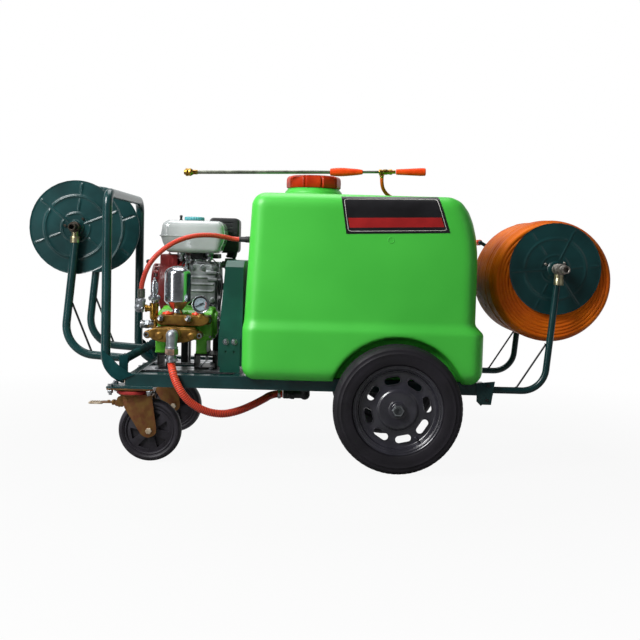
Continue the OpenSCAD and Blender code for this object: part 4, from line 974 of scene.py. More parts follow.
RIM = [(126, 320), (133, 319), (138, 317.8), (138.2, 319.5), (136, 321), (129, 322.5), (126, 325),
    (126, 385), (129, 387.4), (133.5, 388.4), (136.5, 389.4), (138.4, 390.6), (138, 392.2), (136.2, 391.8),
    (134.2, 389.6), (131.6, 388.4), (129.4, 388.6), (128, 387.2), (127.4, 383.4), (125.2, 381.6),
    (123, 381.8), (121.6, 380.2), (120.8, 376), (118.6, 373.6), (116.4, 373.4), (114.8, 371.8), (113, 370.8),
    (76, 371.2), (72, 372.4), (66, 372.8), (62.5, 374.4), (60, 377.4), (56.5, 378.8), (52, 378.9),
    (34, 377.0), (29, 376.6), (27, 378.0), (24, 378.6), (12.8, 378.6), (12.8, 366), (28, 366), (60, 368),
    (113, 367.2), (118, 364), (120, 358), (121.5, 330), (124, 322)]

def slot_outline(turn):
    """The outline of one slot in the rim disc, round-ended, as (x, z) about the hub."""
    out = []
    for sx, start in ((1, -90), (-1, 90)):
        for k in range(13):
            a = math.radians(start + 180 * k / 12)
            out.append((sx * 13.5 + 12.2 * math.cos(a), 91 + 12.2 * math.sin(a)))
    c, s = math.cos(math.radians(turn)), math.sin(math.radians(turn))
    return [(x * c + z * s, z * c - x * s) for x, z in out]

for name, side in (("near", -1), ("far", 1)):
    bm = bmesh.new()
    hollow(bm, TYRE, WHEEL_AT, side * Y, 288, wave=treaded)
    piece(bm, name + "_tyre_rubber", TYRE_RUBBER, name + "_tyre", name + "_wheel", smooth=34)

    bm = bmesh.new()
    hollow(bm, RIM, WHEEL_AT, side * Y, 128)
    rim = solid(bm)
    for k in range(8):
        bm = bmesh.new()
        outline = [(AXLE_X + x, WHEEL_R + z) for x, z in slot_outline(k * 45 - 12)]
        prism(bm, outline, *sorted((side * 362, side * 374)), edge=0)
        rim = combined(rim, bm)
    bm = taken(rim)
    for k in range(8):
        line = [(AXLE_X + x, side * 371.4, WHEEL_R + z) for x, z in slot_outline(k * 45 - 12)]
        sweep(bm, line, 1.5, 8, closed=True)
    hollow(bm, rectangle((13, 318), (28, 367)), WHEEL_AT, side * Y)
    stem = (AXLE_X + 104 * math.sin(0.6), side * 371, WHEEL_R - 104 * math.cos(0.6))
    turned(bm, [(6, 0), (5.4, 3), (3.4, 6), (3.2, 15), (2.6, 16)], stem, side * Y, 16)
    piece(bm, name + "_rim_pressing", RIM_ENAMEL, name + "_rim", name + "_wheel", smooth=32)

# %% [markdown]
# A washer and a plated nut hold each wheel on the axle. The axle's end has a centre
# hole from the lathe, so it shows as a ring with a dark middle.

# %% Axle ends
bm = bmesh.new()
turned(bm, [(12.5, -383), (12.5, 383)], WHEEL_AT, Y, 40)
for side in (-1, 1):
    hollow(bm, [(12.5, 380.6), (21, 380.6), (22, 381.4), (22, 383.6), (21, 384.4), (12.5, 384.4)], WHEEL_AT,
        side * Y, 48, 1)
    hollow(bm, [(12.3, 384.4), (18.6, 384.4), (19, 385), (19, 393.4), (17, 395.2), (14, 395.4),
        (12.3, 393.6)], WHEEL_AT, side * Y, 6, 2)
    lathe(bm, [(0, 380), (12.5, 380), (12.5, 395), (11.5, 396), (6.5, 396), (5, 393), (0, 391)],
        WHEEL_AT, side * Y, 40)
piece(bm, "axle_and_nuts", [PULLEY_IRON, RIM_ENAMEL, ZINC], "axle", smooth=30)
print("main wheels ready")

# %% [markdown]
# ## Swivel casters
# Each caster hangs from a plate under the rail: a ball race with a red dust ring, a
# folded fork in yellow zinc, a solid rubber wheel with six wedge-shaped recesses in
# each face, and a pedal that presses a curved brake block on the wheel.

# %% Casters
CASTER_X, CASTER_Y, HUB = -580, 262, (-522, 100)
CHEEK = round_outline([(-604, 214), (-604, 178), (-545, 84), (-522, 76), (-498, 90), (-499, 112),
    (-514, 214)], [4, 12, 22, 30, 24, 10, 4], 6)

for name, side in (("near", -1), ("far", 1)):
    y = side * CASTER_Y
    swivel, hub, hinge = (CASTER_X, y, 0), (HUB[0], y, HUB[1]), (-626, y, 184)
    bm = bmesh.new()
    prism(bm, round_outline(rectangle((-654, y - 50), (-508, y + 50)), 6, 4), 229.4, 234.4, "z", 0.8)
    turned(bm, [(41, 224), (46, 225), (47, 227), (46, 229.4)], swivel, Z, 64)
    turned(bm, [(8, 200), (10, 201), (10, 204)], swivel, Z, 32)
    piece(bm, name + "_caster_plate_finished", YELLOW_ZINC,
        "caster_plates" if name == "near" else (), smooth=36)
    bm = bmesh.new()
    hollow(bm, [(45, 214.5), (48, 214.5), (49.6, 216), (50, 222), (49, 224.6), (45, 224.6)], swivel, Z, 64)
    piece(bm, name + "_caster_dust_ring", DUST_RED, smooth=40)
    bm = bmesh.new()
    for dx in (-62, 58):
        for dy in (-42, 42):
            place = (CASTER_X + dx, y + dy, 0)
            top = [(5.3, 247), (4.6, 248)] if dx < 0 else [(5.3, 229)]
            turned(bm, [(4.6, 213), (5.3, 214)] + top, place, Z, 20)
            turned(bm, [(8.4, 219.4), (9, 220.4), (9, 227.6), (8.4, 228.4)], place, Z, 6)
            if dx < 0:
                turned(bm, [(9, 239.9), (9, 247.5)], place, Z, 6)
                turned(bm, [(11, 234.5), (11, 236.5)], place, Z, 24)
    piece(bm, name + "_caster_bolts", ZINC, smooth=32)

    bm = bmesh.new()
    for s in (-1, 1):
        prism(bm, CHEEK, y + s * 28 - 2, y + s * 28 + 2, "y", 0.9)
    crown = round_outline(rectangle((-604, y - 29), (-514, y + 29)), 6, 3)
    prism(bm, crown, 209.5, 213.5, "z", 1.2)
    hollow(bm, [(11, 207), (40, 209.4), (43.5, 211), (44, 214), (43, 217.7), (6.2, 217.7),
        (6.2, 212)], swivel, Z, 64)
    for s in (-1, 1):
        prism(bm, round_outline([(-632, 176), (-604, 172), (-600, 208), (-622, 206)], 6, 4), y + s * 22 - 3,
            y + s * 22 + 3, "y", 0.8)
        turned(bm, [(11.5, 30), (11.5, 31.4)], hub, s * Y, 32)
        turned(bm, [(10, 31.2), (10.5, 32), (10.5, 37), (9, 38.2)], hub, s * Y, 6, 1)
        lathe(bm, [(0, 25), (4.6, 25), (4.6, 30.6), (3.6, 31.8), (0, 32.2)], (-592, y, 196), s * Y, 20)
    turned(bm, [(5, -24.5), (5, 24.5)], hinge, Y, 24)
    turned(bm, [(6, -26), (6, 26)], hub, Y, 24)
    piece(bm, name + "_fork_finished", [YELLOW_ZINC, PEDAL_PALE], name + "_fork",
        name + "_caster", smooth=34)

    bm = bmesh.new()
    half = [(7, 24), (20, 24), (22, 22.5), (24, 17), (27, 15.4), (66, 15), (69, 13.6), (71, 13.6),
        (73, 17.6), (75, 18.6), (77, 17.4), (79, 17.4), (81, 20.6), (83, 21.4), (86, 24), (91, 24),
        (93.5, 22.4), (95.5, 19), (98.4, 13), (99.6, 7), (100, 0)]
    loop = half + [(r, -w) for r, w in half[-2::-1]]
    hollow(bm, loop, hub, side * Y, 112)
    wheel = solid(bm)
    for face in (-1, 1):
        bm = bmesh.new()
        for k in range(6):
            a = math.radians(60 * k + 12)
            corners = [(HUB[0] + r * math.cos(a + t), HUB[1] + r * math.sin(a + t))
                       for r, t in ((27, -0.12), (62, -0.31), (62, 0.31), (27, 0.12))]
            prism(bm, round_outline(corners, 4, 4), *sorted((y + face * 6, y + face * 20)), edge=0)
        wheel = combined(wheel, bm)
    bm = taken(wheel)
    piece(bm, name + "_caster_wheel_moulded", CASTER_RUBBER, name + "_caster_wheel",
        name + "_caster_roller", smooth=34)

    bm = bmesh.new()
    hollow(bm, [(5.1, -17), (8.6, -17), (9, -16), (9, 16), (8.6, 17), (5.1, 17)], hinge, Y, 32)
    block(bm, (-676, y - 15, 182), (-632, y + 15, 186.5), 1.2)
    block(bm, (-622, y - 14, 170), (-618, y + 14, 186), 1.2)
    block(bm, (-644, y - 12, 176), (-634, y + 12, 192), 3.0)
    turned(bm, [(5, 0), (5, 2.5), (4, 4)], (-655, y, 186.3), Z, 6)
    piece(bm, name + "_brake_block", YELLOW_ZINC, name + "_brake", name + "_brake_pedal", smooth=34)
    bm = bmesh.new()
    tread = [(-717, y - 15), (-712, y - 20.5), (-676, y - 20.5), (-672, y - 14), (-672, y + 14),
        (-676, y + 20.5), (-712, y + 20.5), (-717, y + 15)]
    prism(bm, tread, 179.2, 184.6, "z", 1.6)
    for k in range(5):
        block(bm, (-711 + k * 7.4, y - 16, 184), (-708 + k * 7.4, y + 16, 186), 0.8)
    piece(bm, name + "_brake_tread", PEDAL_PALE, body=name + "_brake_pedal", smooth=34)
print("casters ready")

# %% [markdown]
# ## Reels
# A reel's sides are pressed discs: thin sheet with two ring beads, six radial beads
# that stiffen it, and a rolled edge. Each disc is a polar grid whose height comes from
# those beads; the grid is finer where the beads are.

# %% Pressed disc
def bead(distance, half_width, height):
    """The height of a pressed bead at a distance from its middle line."""
    t = abs(distance) / half_width
    return height * (0.5 + 0.5 * math.cos(math.pi * t)) if t < 1 else 0.0

# The bore of a disc, and where its ring beads lie as shares of its radius
HUB_BORE, INNER, OUTER = 13.6, 0.3, 0.665

def pressed_disc(bm, at, side, radius, y, turn, lift):
    """One reel side with its boss, at y; its beads stand outward, lift times as proud as usual."""
    rings = {HUB_BORE, 18, 24, 28, 33, radius - 4, radius - 1.5, radius * 0.95, radius}
    rings |= {radius * f for f in (0.38, 0.42, 0.5, 0.58, 0.74, 0.78, 0.84, 0.89, 0.92)}
    rings |= {radius * f + s * d for f in (INNER, OUTER) for d in (0, 1.7, 3.4, 5, 7) for s in (-1, 1)}
    rings = sorted(rings)
    beside = (0, 0.9, 1.9, 3.1, 4.6, 7, 12, 20)
    angles = {round((60 * k + s * d) % 360, 3) for k in range(6) for d in beside for s in (-1, 1)}
    angles = sorted(angles | {60 * k + 30 for k in range(6)})
    def raised(r, a):
        """Three whole spokes interrupt the rings; the three between stop for the outer one."""
        near = (a + 30) % 60 - 30
        off = r * math.sin(math.radians(near))
        whole = round(a / 60) % 2 == 0
        broken = min(1.0, max(0.0, (abs(off) - 6) / 5)) if whole else 1.0
        spoke = 0.0
        for lo, hi in ((0.21, 0.945),) if whole else ((0.36, 0.59), (0.74, 0.945)):
            lo, hi = lo * radius, hi * radius
            ends = min(1.0, max(0.0, min(r - lo, hi - r) / 4 + 0.5))
            spoke = max(spoke, bead(off, 5.0, 3.4 * lift) * ends)
        rim_roll = 1.6 * max(0.0, (r - radius + 4) / 4)
        ring = max(bead(r - radius * OUTER, 6.6, 4.0 * lift), bead(r - radius * INNER, 5.5, 3.4 * lift))
        return max(ring * broken, spoke, rim_roll)
    layers = []
    for thick in (0.0, -1.8):
        layer = []
        for r in rings:
            row = []
            for a in angles:
                t = math.radians(a + turn)
                out = side * (raised(r, a) + thick)
                row.append(bm.verts.new((at[0] + r * math.cos(t), y + out, at[1] + r * math.sin(t))))
            layer.append(row)
        layers.append(layer)
    n = len(angles)
    front, back = layers
    for i in range(len(rings) - 1):
        for k in range(n):
            m = (k + 1) % n
            for g in layers:
                bm.faces.new((g[i][k], g[i][m], g[i + 1][m], g[i + 1][k]))
    for i in (0, len(rings) - 1):
        for k in range(n):
            m = (k + 1) % n
            bm.faces.new((front[i][k], front[i][m], back[i][m], back[i][k]))
    boss = [(HUB_BORE, 0), (26, 0), (26, 3), (22, 5.5), (20, 10), (HUB_BORE, 10)]
    hollow(bm, boss, (at[0], y, at[1]), side * Y, 40)

FRONT, REAR = (-792, 736), (752, 642)
FRONT_AT, REAR_AT = ((x, 0, z) for x, z in (FRONT, REAR))
bm = bmesh.new()
for side in (-1, 1):
    pressed_disc(bm, FRONT, side, 152, side * 150, 22, 0.85)
hollow(bm, rectangle((26, -149), (30, 149)), FRONT_AT, Y)
piece(bm, "front_reel_pressing", POWDER, "front_reel", "empty_reel", smooth=50)

def axle_pipe(bm, at, y):
    """Half of a reel's axle pipe, from its turned-down, drilled end at y to the middle."""
    edge = [(0, 26), (8, 25), (8, 0.6), (8.8, 0), (11.6, 0), (12.5, 1.0), (12.5, 26), (13.5, 27)]
    lathe(bm, edge + [(13.5, abs(y)), (0, abs(y))], (at[0], y, at[1]), Y if y < 0 else -Y)

bm = bmesh.new()
axle_pipe(bm, FRONT, -212)
axle_pipe(bm, FRONT, 212)
for side in (-1, 1):
    bolt_circle(bm, (FRONT[0], side * 152, FRONT[1]), side * Y, 36, 3, 52, 8)
piece(bm, "front_axle_pipe", DARK_IRON, body="empty_reel", smooth=34)

# %% Stands of both reels
def bent(points, radius, steps):
    """A line through corners that are rounded to a bend radius."""
    p = [Vector(q) for q in points]
    out = [p[0]]
    for a, b, c in zip(p, p[1:], p[2:]):
        u, v = (a - b).normalized(), (c - b).normalized()
        half = u.angle(v) / 2
        reach = radius / math.tan(half)
        centre = b + (u + v).normalized() * (radius / math.sin(half))
        start, end = b + u * reach - centre, b + v * reach - centre
        total = start.angle(end)
        turn = start.cross(end).normalized()
        out += [centre + Matrix.Rotation(total * k / steps, 3, turn) @ start for k in range(steps + 1)]
    return out + [p[-1]]

def tee_socket(bm, at, y, half, neck):
    """A pipe tee: a thick-walled socket across, and a collar down onto the leg."""
    hollow(bm, [(13.7, -half), (16.6, -half), (17.8, -half + 1.4), (17.8, -half + 5), (16.4, -half + 6.4),
        (16.4, half - 6.4), (17.8, half - 5), (17.8, half - 1.4), (16.6, half), (13.7, half)],
        (at[0], y, at[1]), Y)
    turned(bm, [(14.6, -50), (15.4, -49), (15.4, -31), (14.6, -29.5), (neck, -28), (neck, -15)],
        (at[0] + 2, y, at[1]), Z, 40, 1)

bm = bmesh.new()
tees = bmesh.new()
rods = bmesh.new()
for side in (-1, 1):
    y = side * 172
    sweep(bm, bent([(-788, y, 690), (-824.5, y, 329), (-622.4, y, 316)], 95, 14), 13.5, 28)
    weld(bm, ring_points((-624, y, 316.2), X, 13.6), 2.2, 21)
    tee_socket(tees, FRONT, y, 11.5, 11)
    sweep(rods, [(-803, y, 506), (-731, y, 331)], 3.5, 12)
    for end in ((-803, y, 506), (-731, y, 331)):
        weld(rods, ring_points(end, (0.38, 0, -0.92), 4.2, 10), 1.5, 23)
piece(bm, "front_stand_tubes", POWDER, "front_reel_stand", smooth=50)
piece(tees, "front_stand_tees", [DARK_IRON, COLLAR_ZINC], smooth=36)
piece(rods, "front_stand_rods", BRACE_PAINT, smooth=50)

bm = bmesh.new()
tees = bmesh.new()
rods = bmesh.new()
for side in (-1, 1):
    y = side * 271
    sweep(bm, bent([(750, y, 600), (720, y, 256), (494, y, 256)], 75, 14), 10.8, 28)
    tee_socket(tees, REAR, y, 15, 14.4)
    sweep(rods, [(722, y, 405), (635, y, 265.5)], 3, 12)
    for end in ((722, y, 405), (635, y, 265.5)):
        weld(rods, ring_points(end, (0.53, 0, 0.85), 3.8, 10), 1.4, 25)
    plate = [(502, 279.6), (506, 236), (506, 222), (520, 208), (524, 212), (552, 212), (562, 286)]
    prism(bm, plate, *sorted((side * 296.3, side * 300)), "y", 0.6)
    block(bm, (528.3, min(side * 257, side * 296), 242), (558, max(side * 257, side * 296), 270), 1.5)
    for x, z in ((541, 273), (538, 227)):
        bolt(rods, (x, side * 300, z), side * Y, 9.5, washer=False)
    weld(bm, [(529, side * 297, 271), (543, side * 297, 271.5), (557, side * 297, 271)], 1.8, 27)
piece(bm, "rear_stand_tubes", POWDER, "rear_reel_stand", smooth=50)
piece(tees, "rear_stand_tees", [RAW_STEEL, COLLAR_ZINC], smooth=36)
piece(rods, "rear_stand_rods", BRACE_PAINT, smooth=50)

# %% Rear reel, its crank and its grip
GRIP_AT = (593, 0, 727)
CRANK_END = (593, 312, 727)
bm = bmesh.new()
for side in (-1, 1):
    pressed_disc(bm, REAR, side, 146, side * 226, 65, 0.5)
hollow(bm, rectangle((34, -225), (40, 225)), REAR_AT, Y)
sweep(bm, [(REAR[0] - 8, 312, REAR[1] + 4.3), CRANK_END], 6.5, 20)
hollow(bm, [(13.6, 298), (19, 298), (20, 299), (20, 325), (19, 326), (13.6, 326)], REAR_AT, Y, 40)
ball(bm, CRANK_END, 8, 24, 16)
piece(bm, "rear_reel_pressing", POWDER, "rear_reel", "full_reel", smooth=50)

bm = bmesh.new()
axle_pipe(bm, REAR, -375)
axle_pipe(bm, REAR, 324)
hollow(bm, [(13.6, -330), (16.4, -330), (17, -329), (17, -318), (16, -317), (16, -303), (17, -302),
    (17, -291), (16.4, -290), (13.6, -290)], REAR_AT, Y, 40)
for a in (50, 190, 310):
    t = math.radians(a)
    bolt(bm, (REAR[0] + 15.5 * math.cos(t), -310, REAR[1] + 15.5 * math.sin(t)),
        (math.cos(t), 0, math.sin(t)), 6, washer=False)
for side in (-1, 1):
    bolt_circle(bm, (REAR[0], side * 228, REAR[1]), side * Y, 34, 3, 35, 8)
turned(bm, [(5, 306), (5, 397), (4.4, 398)], GRIP_AT, Y, 24)
turned(bm, [(8, 394.3), (8, 396), (5, 398)], GRIP_AT, Y, 24)
piece(bm, "rear_axle_pipe", RAW_STEEL, body="full_reel", smooth=34)

bm = bmesh.new()
hollow(bm, [(5.1, 322), (8, 322), (10.4, 323.4), (11, 326), (10.2, 330), (9.4, 340), (10.4, 352), (11, 364),
    (11, 382), (10.2, 390), (8, 394), (5.1, 394)], GRIP_AT, Y, wave=flutes(10, 0.035, 9))
piece(bm, "crank_grip_moulded", GRIP_ORANGE, "crank_grip", "crank_handle", smooth=40)

# %% [markdown]
# ## Wound hose
# Some eighty metres of pressure hose lie on the drum. Only the outermost turns and
# the turns at both faces show, so only those are modelled, over a plain core. Hand
# winding is never even: each turn wanders a little, and two cross the others.

# %% Winding
# The winding hangs lower than its drum. The turns of its outermost layer lie between
# its two faces; at the faces they sink in a little
WOUND_AT, HOSE_R = (748, 602), 6.8
TURNS, FACE_Y = 41, 202
bm = bmesh.new()
hollow(bm, [(60, -211), (180, -211), (186.5, -190), (186.5, 190), (180, 211), (60, 211)],
    (WOUND_AT[0], 0, WOUND_AT[1]), Y, 96)

def turn_of_hose(radius, y, wobble, drift, seed):
    """One closed turn whose radius and place wander by a smooth few millimetres."""
    steps = 88
    wander = random.Random(seed)
    waves = [(k, wander.uniform(0.2, 1.0) / k, wander.uniform(0, math.tau)) for k in (1, 2, 3, 5)]
    line = []
    for i in range(steps):
        a = math.tau * i / steps
        sway = sum(s * math.sin(k * a + p) for k, s, p in waves)
        roll = sum(s * math.cos(k * a + 2 * p) for k, s, p in waves)
        r = radius + wobble * sway
        line.append((WOUND_AT[0] + r * math.cos(a), y + drift * roll, WOUND_AT[1] + r * math.sin(a)))
    return line

for k in range(TURNS):
    y = -FACE_Y + k * 2 * FACE_Y / (TURNS - 1)
    sag = 8.5 * max(0.0, abs(y) / FACE_Y - 0.86) / 0.14
    sweep(bm, turn_of_hose(188.8 - sag, y, 0.7, 0.8, 40 + k), HOSE_R, 10, closed=True)
for side in (-1, 1):
    for k in range(10):
        lift = 207.6 - 0.3 * k
        sweep(bm, turn_of_hose(177.5 - k * 11, side * lift, 1.4, 0.8, 90 + k), HOSE_R, 10, closed=True)
for start, span in ((0.4, 62), (4.4, 55)):
    line = []
    for i in range(90):
        a = start + math.tau * 0.62 * i / 89
        line.append((WOUND_AT[0] + 190.6 * math.cos(a), -150 + start * 60 + span * i / 89,
                     WOUND_AT[1] + 190.6 * math.sin(a)))
    sweep(bm, line, [HOSE_R * min(1.0, 0.2 + min(i, 89 - i) / 5) for i in range(90)], 10)
piece(bm, "wound_hose_turns", HOSE_ORANGE, "hose_winding", "full_reel", smooth=60)
print("reels ready")

# %% [markdown]
# ## Tools for castings and shells
# Castings are made of plain forms that overlap, fused into one even skin and
# smoothed, which leaves the small fillets that a mould needs. Machined faces and
# bolts are added afterwards, so they stay crisp. Pressed and moulded shells are
# lofted through rounded rectangles.

# %% Casting and lofting
def fused(bm, voxel, rounds):
    """Fuses overlapping closed forms into one skin with fillets."""
    return taken(skinned(solid(bm), voxel, rounds))

def ring_at(low, high, corner, level, across, steps):
    """A rounded rectangle from low to high as 3-D points at a level along an axis."""
    flat = round_outline(rectangle(low, high), corner, steps)
    return [(a, level, b) if across == "y" else (a, b, level) for a, b in flat]

def loft(bm, rings):
    """Joins rings of equal count by quads and closes both ends."""
    layers = [[bm.verts.new(p) for p in ring] for ring in rings]
    n = len(layers[0])
    for low, high in zip(layers, layers[1:]):
        for k in range(n):
            m = (k + 1) % n
            bm.faces.new((low[k], low[m], high[m], high[k]))
    for layer in (layers[0], layers[-1]):
        bm.faces.new(layer)

def shell_along_y(bm, low, high, corner, stations, steps):
    """A box with rounded edges, drawn in by an inset at each station (y, inset)."""
    loft(bm, [ring_at((low[0] + d, low[1] + d), (high[0] - d, high[1] - d), corner - d, y, "y", steps)
              for y, d in stations])

def rod(bm, a, b, r, sides=12):
    """A plain round bar between two points."""
    sweep(bm, [a, b], r, sides)

# Where the crankshaft and the pump's shaft lie, as (y, z), and as places for the lathe
CRANK, PUMP = (130, 546), (-60, 430)
CRANK_AT, PUMP_AT = (0, *CRANK), (0, *PUMP)

# %% [markdown]
# ## Engine
# A small single-cylinder petrol engine. The crankcase is a casting with a side cover
# bolted on. The barrel leans away behind it. The blower housing and the recoil
# starter are enamelled sheet with openings for the cooling air.

# %% Crankcase
COVER_BOLTS = [(x, z) for x in (-438, -402, -366) for z in (500, 612)]
bm = bmesh.new()
block(bm, (-452, 67, 450), (-352, 214, 632), 4)
block(bm, (-464, 52, 440), (-340, 228, 451), 1)
cover = [(-446, 500), (-432, 486), (-372, 486), (-358, 500), (-358, 612), (-370, 626),
    (-436, 626), (-446, 612)]
prism(bm, round_outline(cover, 9, 4), 58, 70, "y", 0.6)
for x, z in COVER_BOLTS:
    turned(bm, [(8.5, 0), (7.6, 16)], (x, 68, z), -Y, 24)
for z in (528, 552, 576):
    block(bm, (-440, 54.5, z), (-364, 62, z + 4), 0.8)
block(bm, (-391, 52, 590), (-352, 66, 601), 2)
block(bm, (-384, 52, 566), (-350, 66, 577), 2)
block(bm, (-400, 54, 602), (-372, 66, 622), 2)
turned(bm, [(36, 0), (34, 9)], (-353, *CRANK), X)
turned(bm, [(24, 0), (22, 8)], (-353, 130, 480), X, 40)
for x in (-436, -368):
    block(bm, (x - 9, 60, 450), (x + 9, 72, 486), 2)
block(bm, (-446, 68, 630), (-396, 120, 645), 4)
bm = fused(bm, 1.8, 3)
for x, z in COVER_BOLTS:
    turned(bm, [(8, 0), (8, 1)], (x, 52.4, z), -Y, 24)
piece(bm, "crankcase_casting", ALUMINIUM, "engine_block", smooth=50)

bm = bmesh.new()
for x, z in COVER_BOLTS:
    bolt(bm, (x, 51.4, z), -Y, 9, washer=False)
for x, z in ((-357, 595.5), (-352, 571.5)):
    turned(bm, [(3.6, 0), (3.6, 9), (5.6, 9.4), (5.6, 15), (3, 16)], (x, 58, z), X, 16)
for x, y in ((-458, 62), (-346, 62), (-458, 218), (-346, 218)):
    bolt(bm, (x, y, 451), Z, 9)
bolt(bm, (-424, 56, 463), -Y, 12)
bolt_circle(bm, (-344.2, *CRANK), X, 27, 6, 20, 6)
piece(bm, "crankcase_bolts", ZINC, smooth=34)

bm = bmesh.new()
turned(bm, [(12, 0), (13, 2), (13, 7), (11, 9), (4, 9), (4, 15)], (-378, 58, 474), -Y, 24,
    wave=lambda a, r, h: 1.0 - 0.06 * (math.cos(10 * a) > 0) if r > 10 else 1.0)
block(bm, (-446, 60, 640), (-404, 64, 668), 0.8)
rod(bm, (-440, 56, 648), (-366, 56, 640), 2.0)
rod(bm, (-366, 56, 640), (-340, 62, 612), 2.0)
block(bm, (-420, 70, 644), (-352, 190, 660), 3)
pipe(bm, [(-352, 60, 600), (-336, 54, 580), (-334, 52, 540), (-338, 56, 500), (-346, 60, 470)], 30, 3.0, 10)
pipe(bm, [(-458, 46, 636), (-470, 40, 622), (-478, 44, 596), (-474, 56, 560), (-460, 64, 520),
    (-458, 66, 480)], 30, 2.4, 10)
piece(bm, "engine_controls_black", BLACK_PLASTIC, smooth=45)

# A coil spring and thin plated rods link the speed lever to the governor arm.
bm = bmesh.new()
coil = [(-430 + 26 * i / 120, 52 + 3.4 * math.cos(i * math.tau / 12), 637 + 3.4 * math.sin(i * math.tau / 12))
        for i in range(121)]
sweep(bm, coil, 0.8, 6)
rod(bm, (-448, 50, 636), (-428, 52, 637), 1.3)
rod(bm, (-404, 52, 637), (-344, 60, 628), 1.3)
block(bm, (-458, 49, 626), (-444, 52, 652), 0.8)
block(bm, (-346, 56, 604), (-341, 64, 634), 0.8)
piece(bm, "governor_linkage", ZINC, smooth=45)

# %% Barrel and head
LEAN = (X, 25)
FOOT = Vector((-402, 216, 545))

def leaning(bm, low, high, edge):
    """A rounded block in the barrel's own frame, whose +Y runs up the barrel."""
    block(bm, [a + b for a, b in zip(low, FOOT)], [a + b for a, b in zip(high, FOOT)], edge, LEAN, FOOT)

bm = bmesh.new()
leaning(bm, (-34, 0, -34), (34, 90, 34), 4)
for k in range(8):
    leaning(bm, (-46, 6 + 10 * k, -46), (46, 9.6 + 10 * k, 46), 1.2)
leaning(bm, (-40, 88, -40), (40, 104, 40), 4)
for z in (-30, -18, -6, 6, 18, 30):
    leaning(bm, (-38, 102, z - 1.5), (38, 109, z + 1.5), 0.8)
leaning(bm, (-14, 104, -14), (14, 112, 14), 3)
piece(bm, "barrel_casting", ALUMINIUM, "cylinder", smooth=40)

# %% Blower housing and recoil starter
bm = bmesh.new()
hollow(bm, [(40, -552), (94, -552), (97, -550.6), (98, -547), (98, -474), (96, -472), (98, -470), (98, -466),
    (93, -466), (93, -547), (40, -547)], CRANK_AT, X, 96)
shell = solid(bm)
bm = bmesh.new()
block(bm, (-552, 60, 560), (-490, 214, 656), 8)
shell = combined(shell, bm, "UNION")
bm = bmesh.new()
block(bm, (-547.5, 65, 540), (-485, 209, 651), 0)
shell = combined(shell, bm)
bm = taken(shell)
for x in (-520, -505):
    block(bm, (x - 3, 58.6, 575), (x + 3, 61, 640), 1)
for y0, z0, y1, z1 in ((60, 652, 130, 662), (130, 662, 200, 656)):
    rod(bm, (-530, y0, z0 - 3), (-530, y1, z1 - 6), 3, 8)
piece(bm, "blower_housing", SHROUD_RED, "fan_shroud", smooth=34)

bm = bmesh.new()
hollow(bm, [(66, -582), (73, -582), (76, -579.4), (76, -574), (72.5, -574), (72.5, -578), (66, -578)],
    CRANK_AT, X, 80)
hollow(bm, [(72.5, -559), (76, -559), (80, -553.4), (88, -552.2), (88, -550), (72.5, -550)], CRANK_AT, X, 80)
hollow(bm, [(0, -580), (20, -580), (24, -582), (37, -582), (39, -580), (39, -578), (0, -577)],
    CRANK_AT, X, 64)
for k in range(24):
    block(bm, (-581.4, 130 + 36, 546 - 2), (-578.4, 130 + 68, 546 + 2), 0.8, (X, 15 * k), CRANK_AT)
for k in range(18):
    block(bm, (-576, 130 + 72.6, 546 - 5), (-557, 130 + 75.8, 546 + 5), 0.8, (X, 20 * k), CRANK_AT)
piece(bm, "recoil_cover", SHROUD_RED, smooth=34)

bm = bmesh.new()
turned(bm, [(30, -572), (66, -566), (66, -562)], CRANK_AT, X, 64)
piece(bm, "recoil_drum", BLACK_PLASTIC, smooth=40)
bm = bmesh.new()
bolt_circle(bm, (-552.4, *CRANK), -X, 83, 4, 40, 8)
lathe(bm, [(0, 0), (6, 0), (6, 4), (0, 5)], (-580, *CRANK), -X, 6)
piece(bm, "recoil_bolts", ZINC, smooth=34)

bm = bmesh.new()
turned(bm, [(5, 0), (7.4, 1.6), (8, 5), (7, 14), (6.6, 22), (7, 30), (8, 39), (7.4, 42.4), (5, 44)],
    (-592, 56, 628), Y, 32)
turned(bm, [(4.4, 606), (5, 607), (5, 612), (4, 616), (5, 622), (5, 628)], (-592, 78, 0), Z, 24)
piece(bm, "starter_grip_moulded", BLACK_PLASTIC, "recoil_handle", "starter_grip", smooth=45)

# %% [markdown]
# The fuel tank is two deep-drawn shells rolled together at a seam. The upper shell
# swells a little and is sprayed white; the lower one tapers to a flat floor.

# %% Fuel tank and its fittings
def quarter(r, k):
    """The cosine and sine sides of a corner of radius r, at k times 15 degrees."""
    return r * math.cos(math.radians(15 * k)), r * math.sin(math.radians(15 * k))

# Levels of the shells as z, and how far each draws in along x and along y
levels = [(662 + 20 - c, 38 - s, 30 - s) for c, s in (quarter(20, k) for k in range(7))]
levels += [(696, 11, 6.5), (714, 5.4, 2.8), (716.4, 4.6, 2.2), (717, 0.6, 0.6), (718, 0, 0), (720.4, 0, 0),
    (721.4, 0.6, 0.6), (722, 4.6, 2.2), (735, 6.4, 3.0), (748, 8.4, 4.4)]
levels += [(748 + s, 34.4 - c, 30.4 - c) for c, s in (quarter(26, k) for k in range(1, 6))]
levels += [(773.6, 44, 38), (774, 70, 62)]
bm = bmesh.new()
loft(bm, [ring_at((-552 + dx, 15 + dy), (-322 - dx, 200 - dy), max(8, 34 - 0.55 * min(dx, 40)), z, "z", 8)
          for z, dx, dy in levels])
piece(bm, "fuel_tank_shells", FUEL_ENAMEL, "fuel_tank", smooth=36)

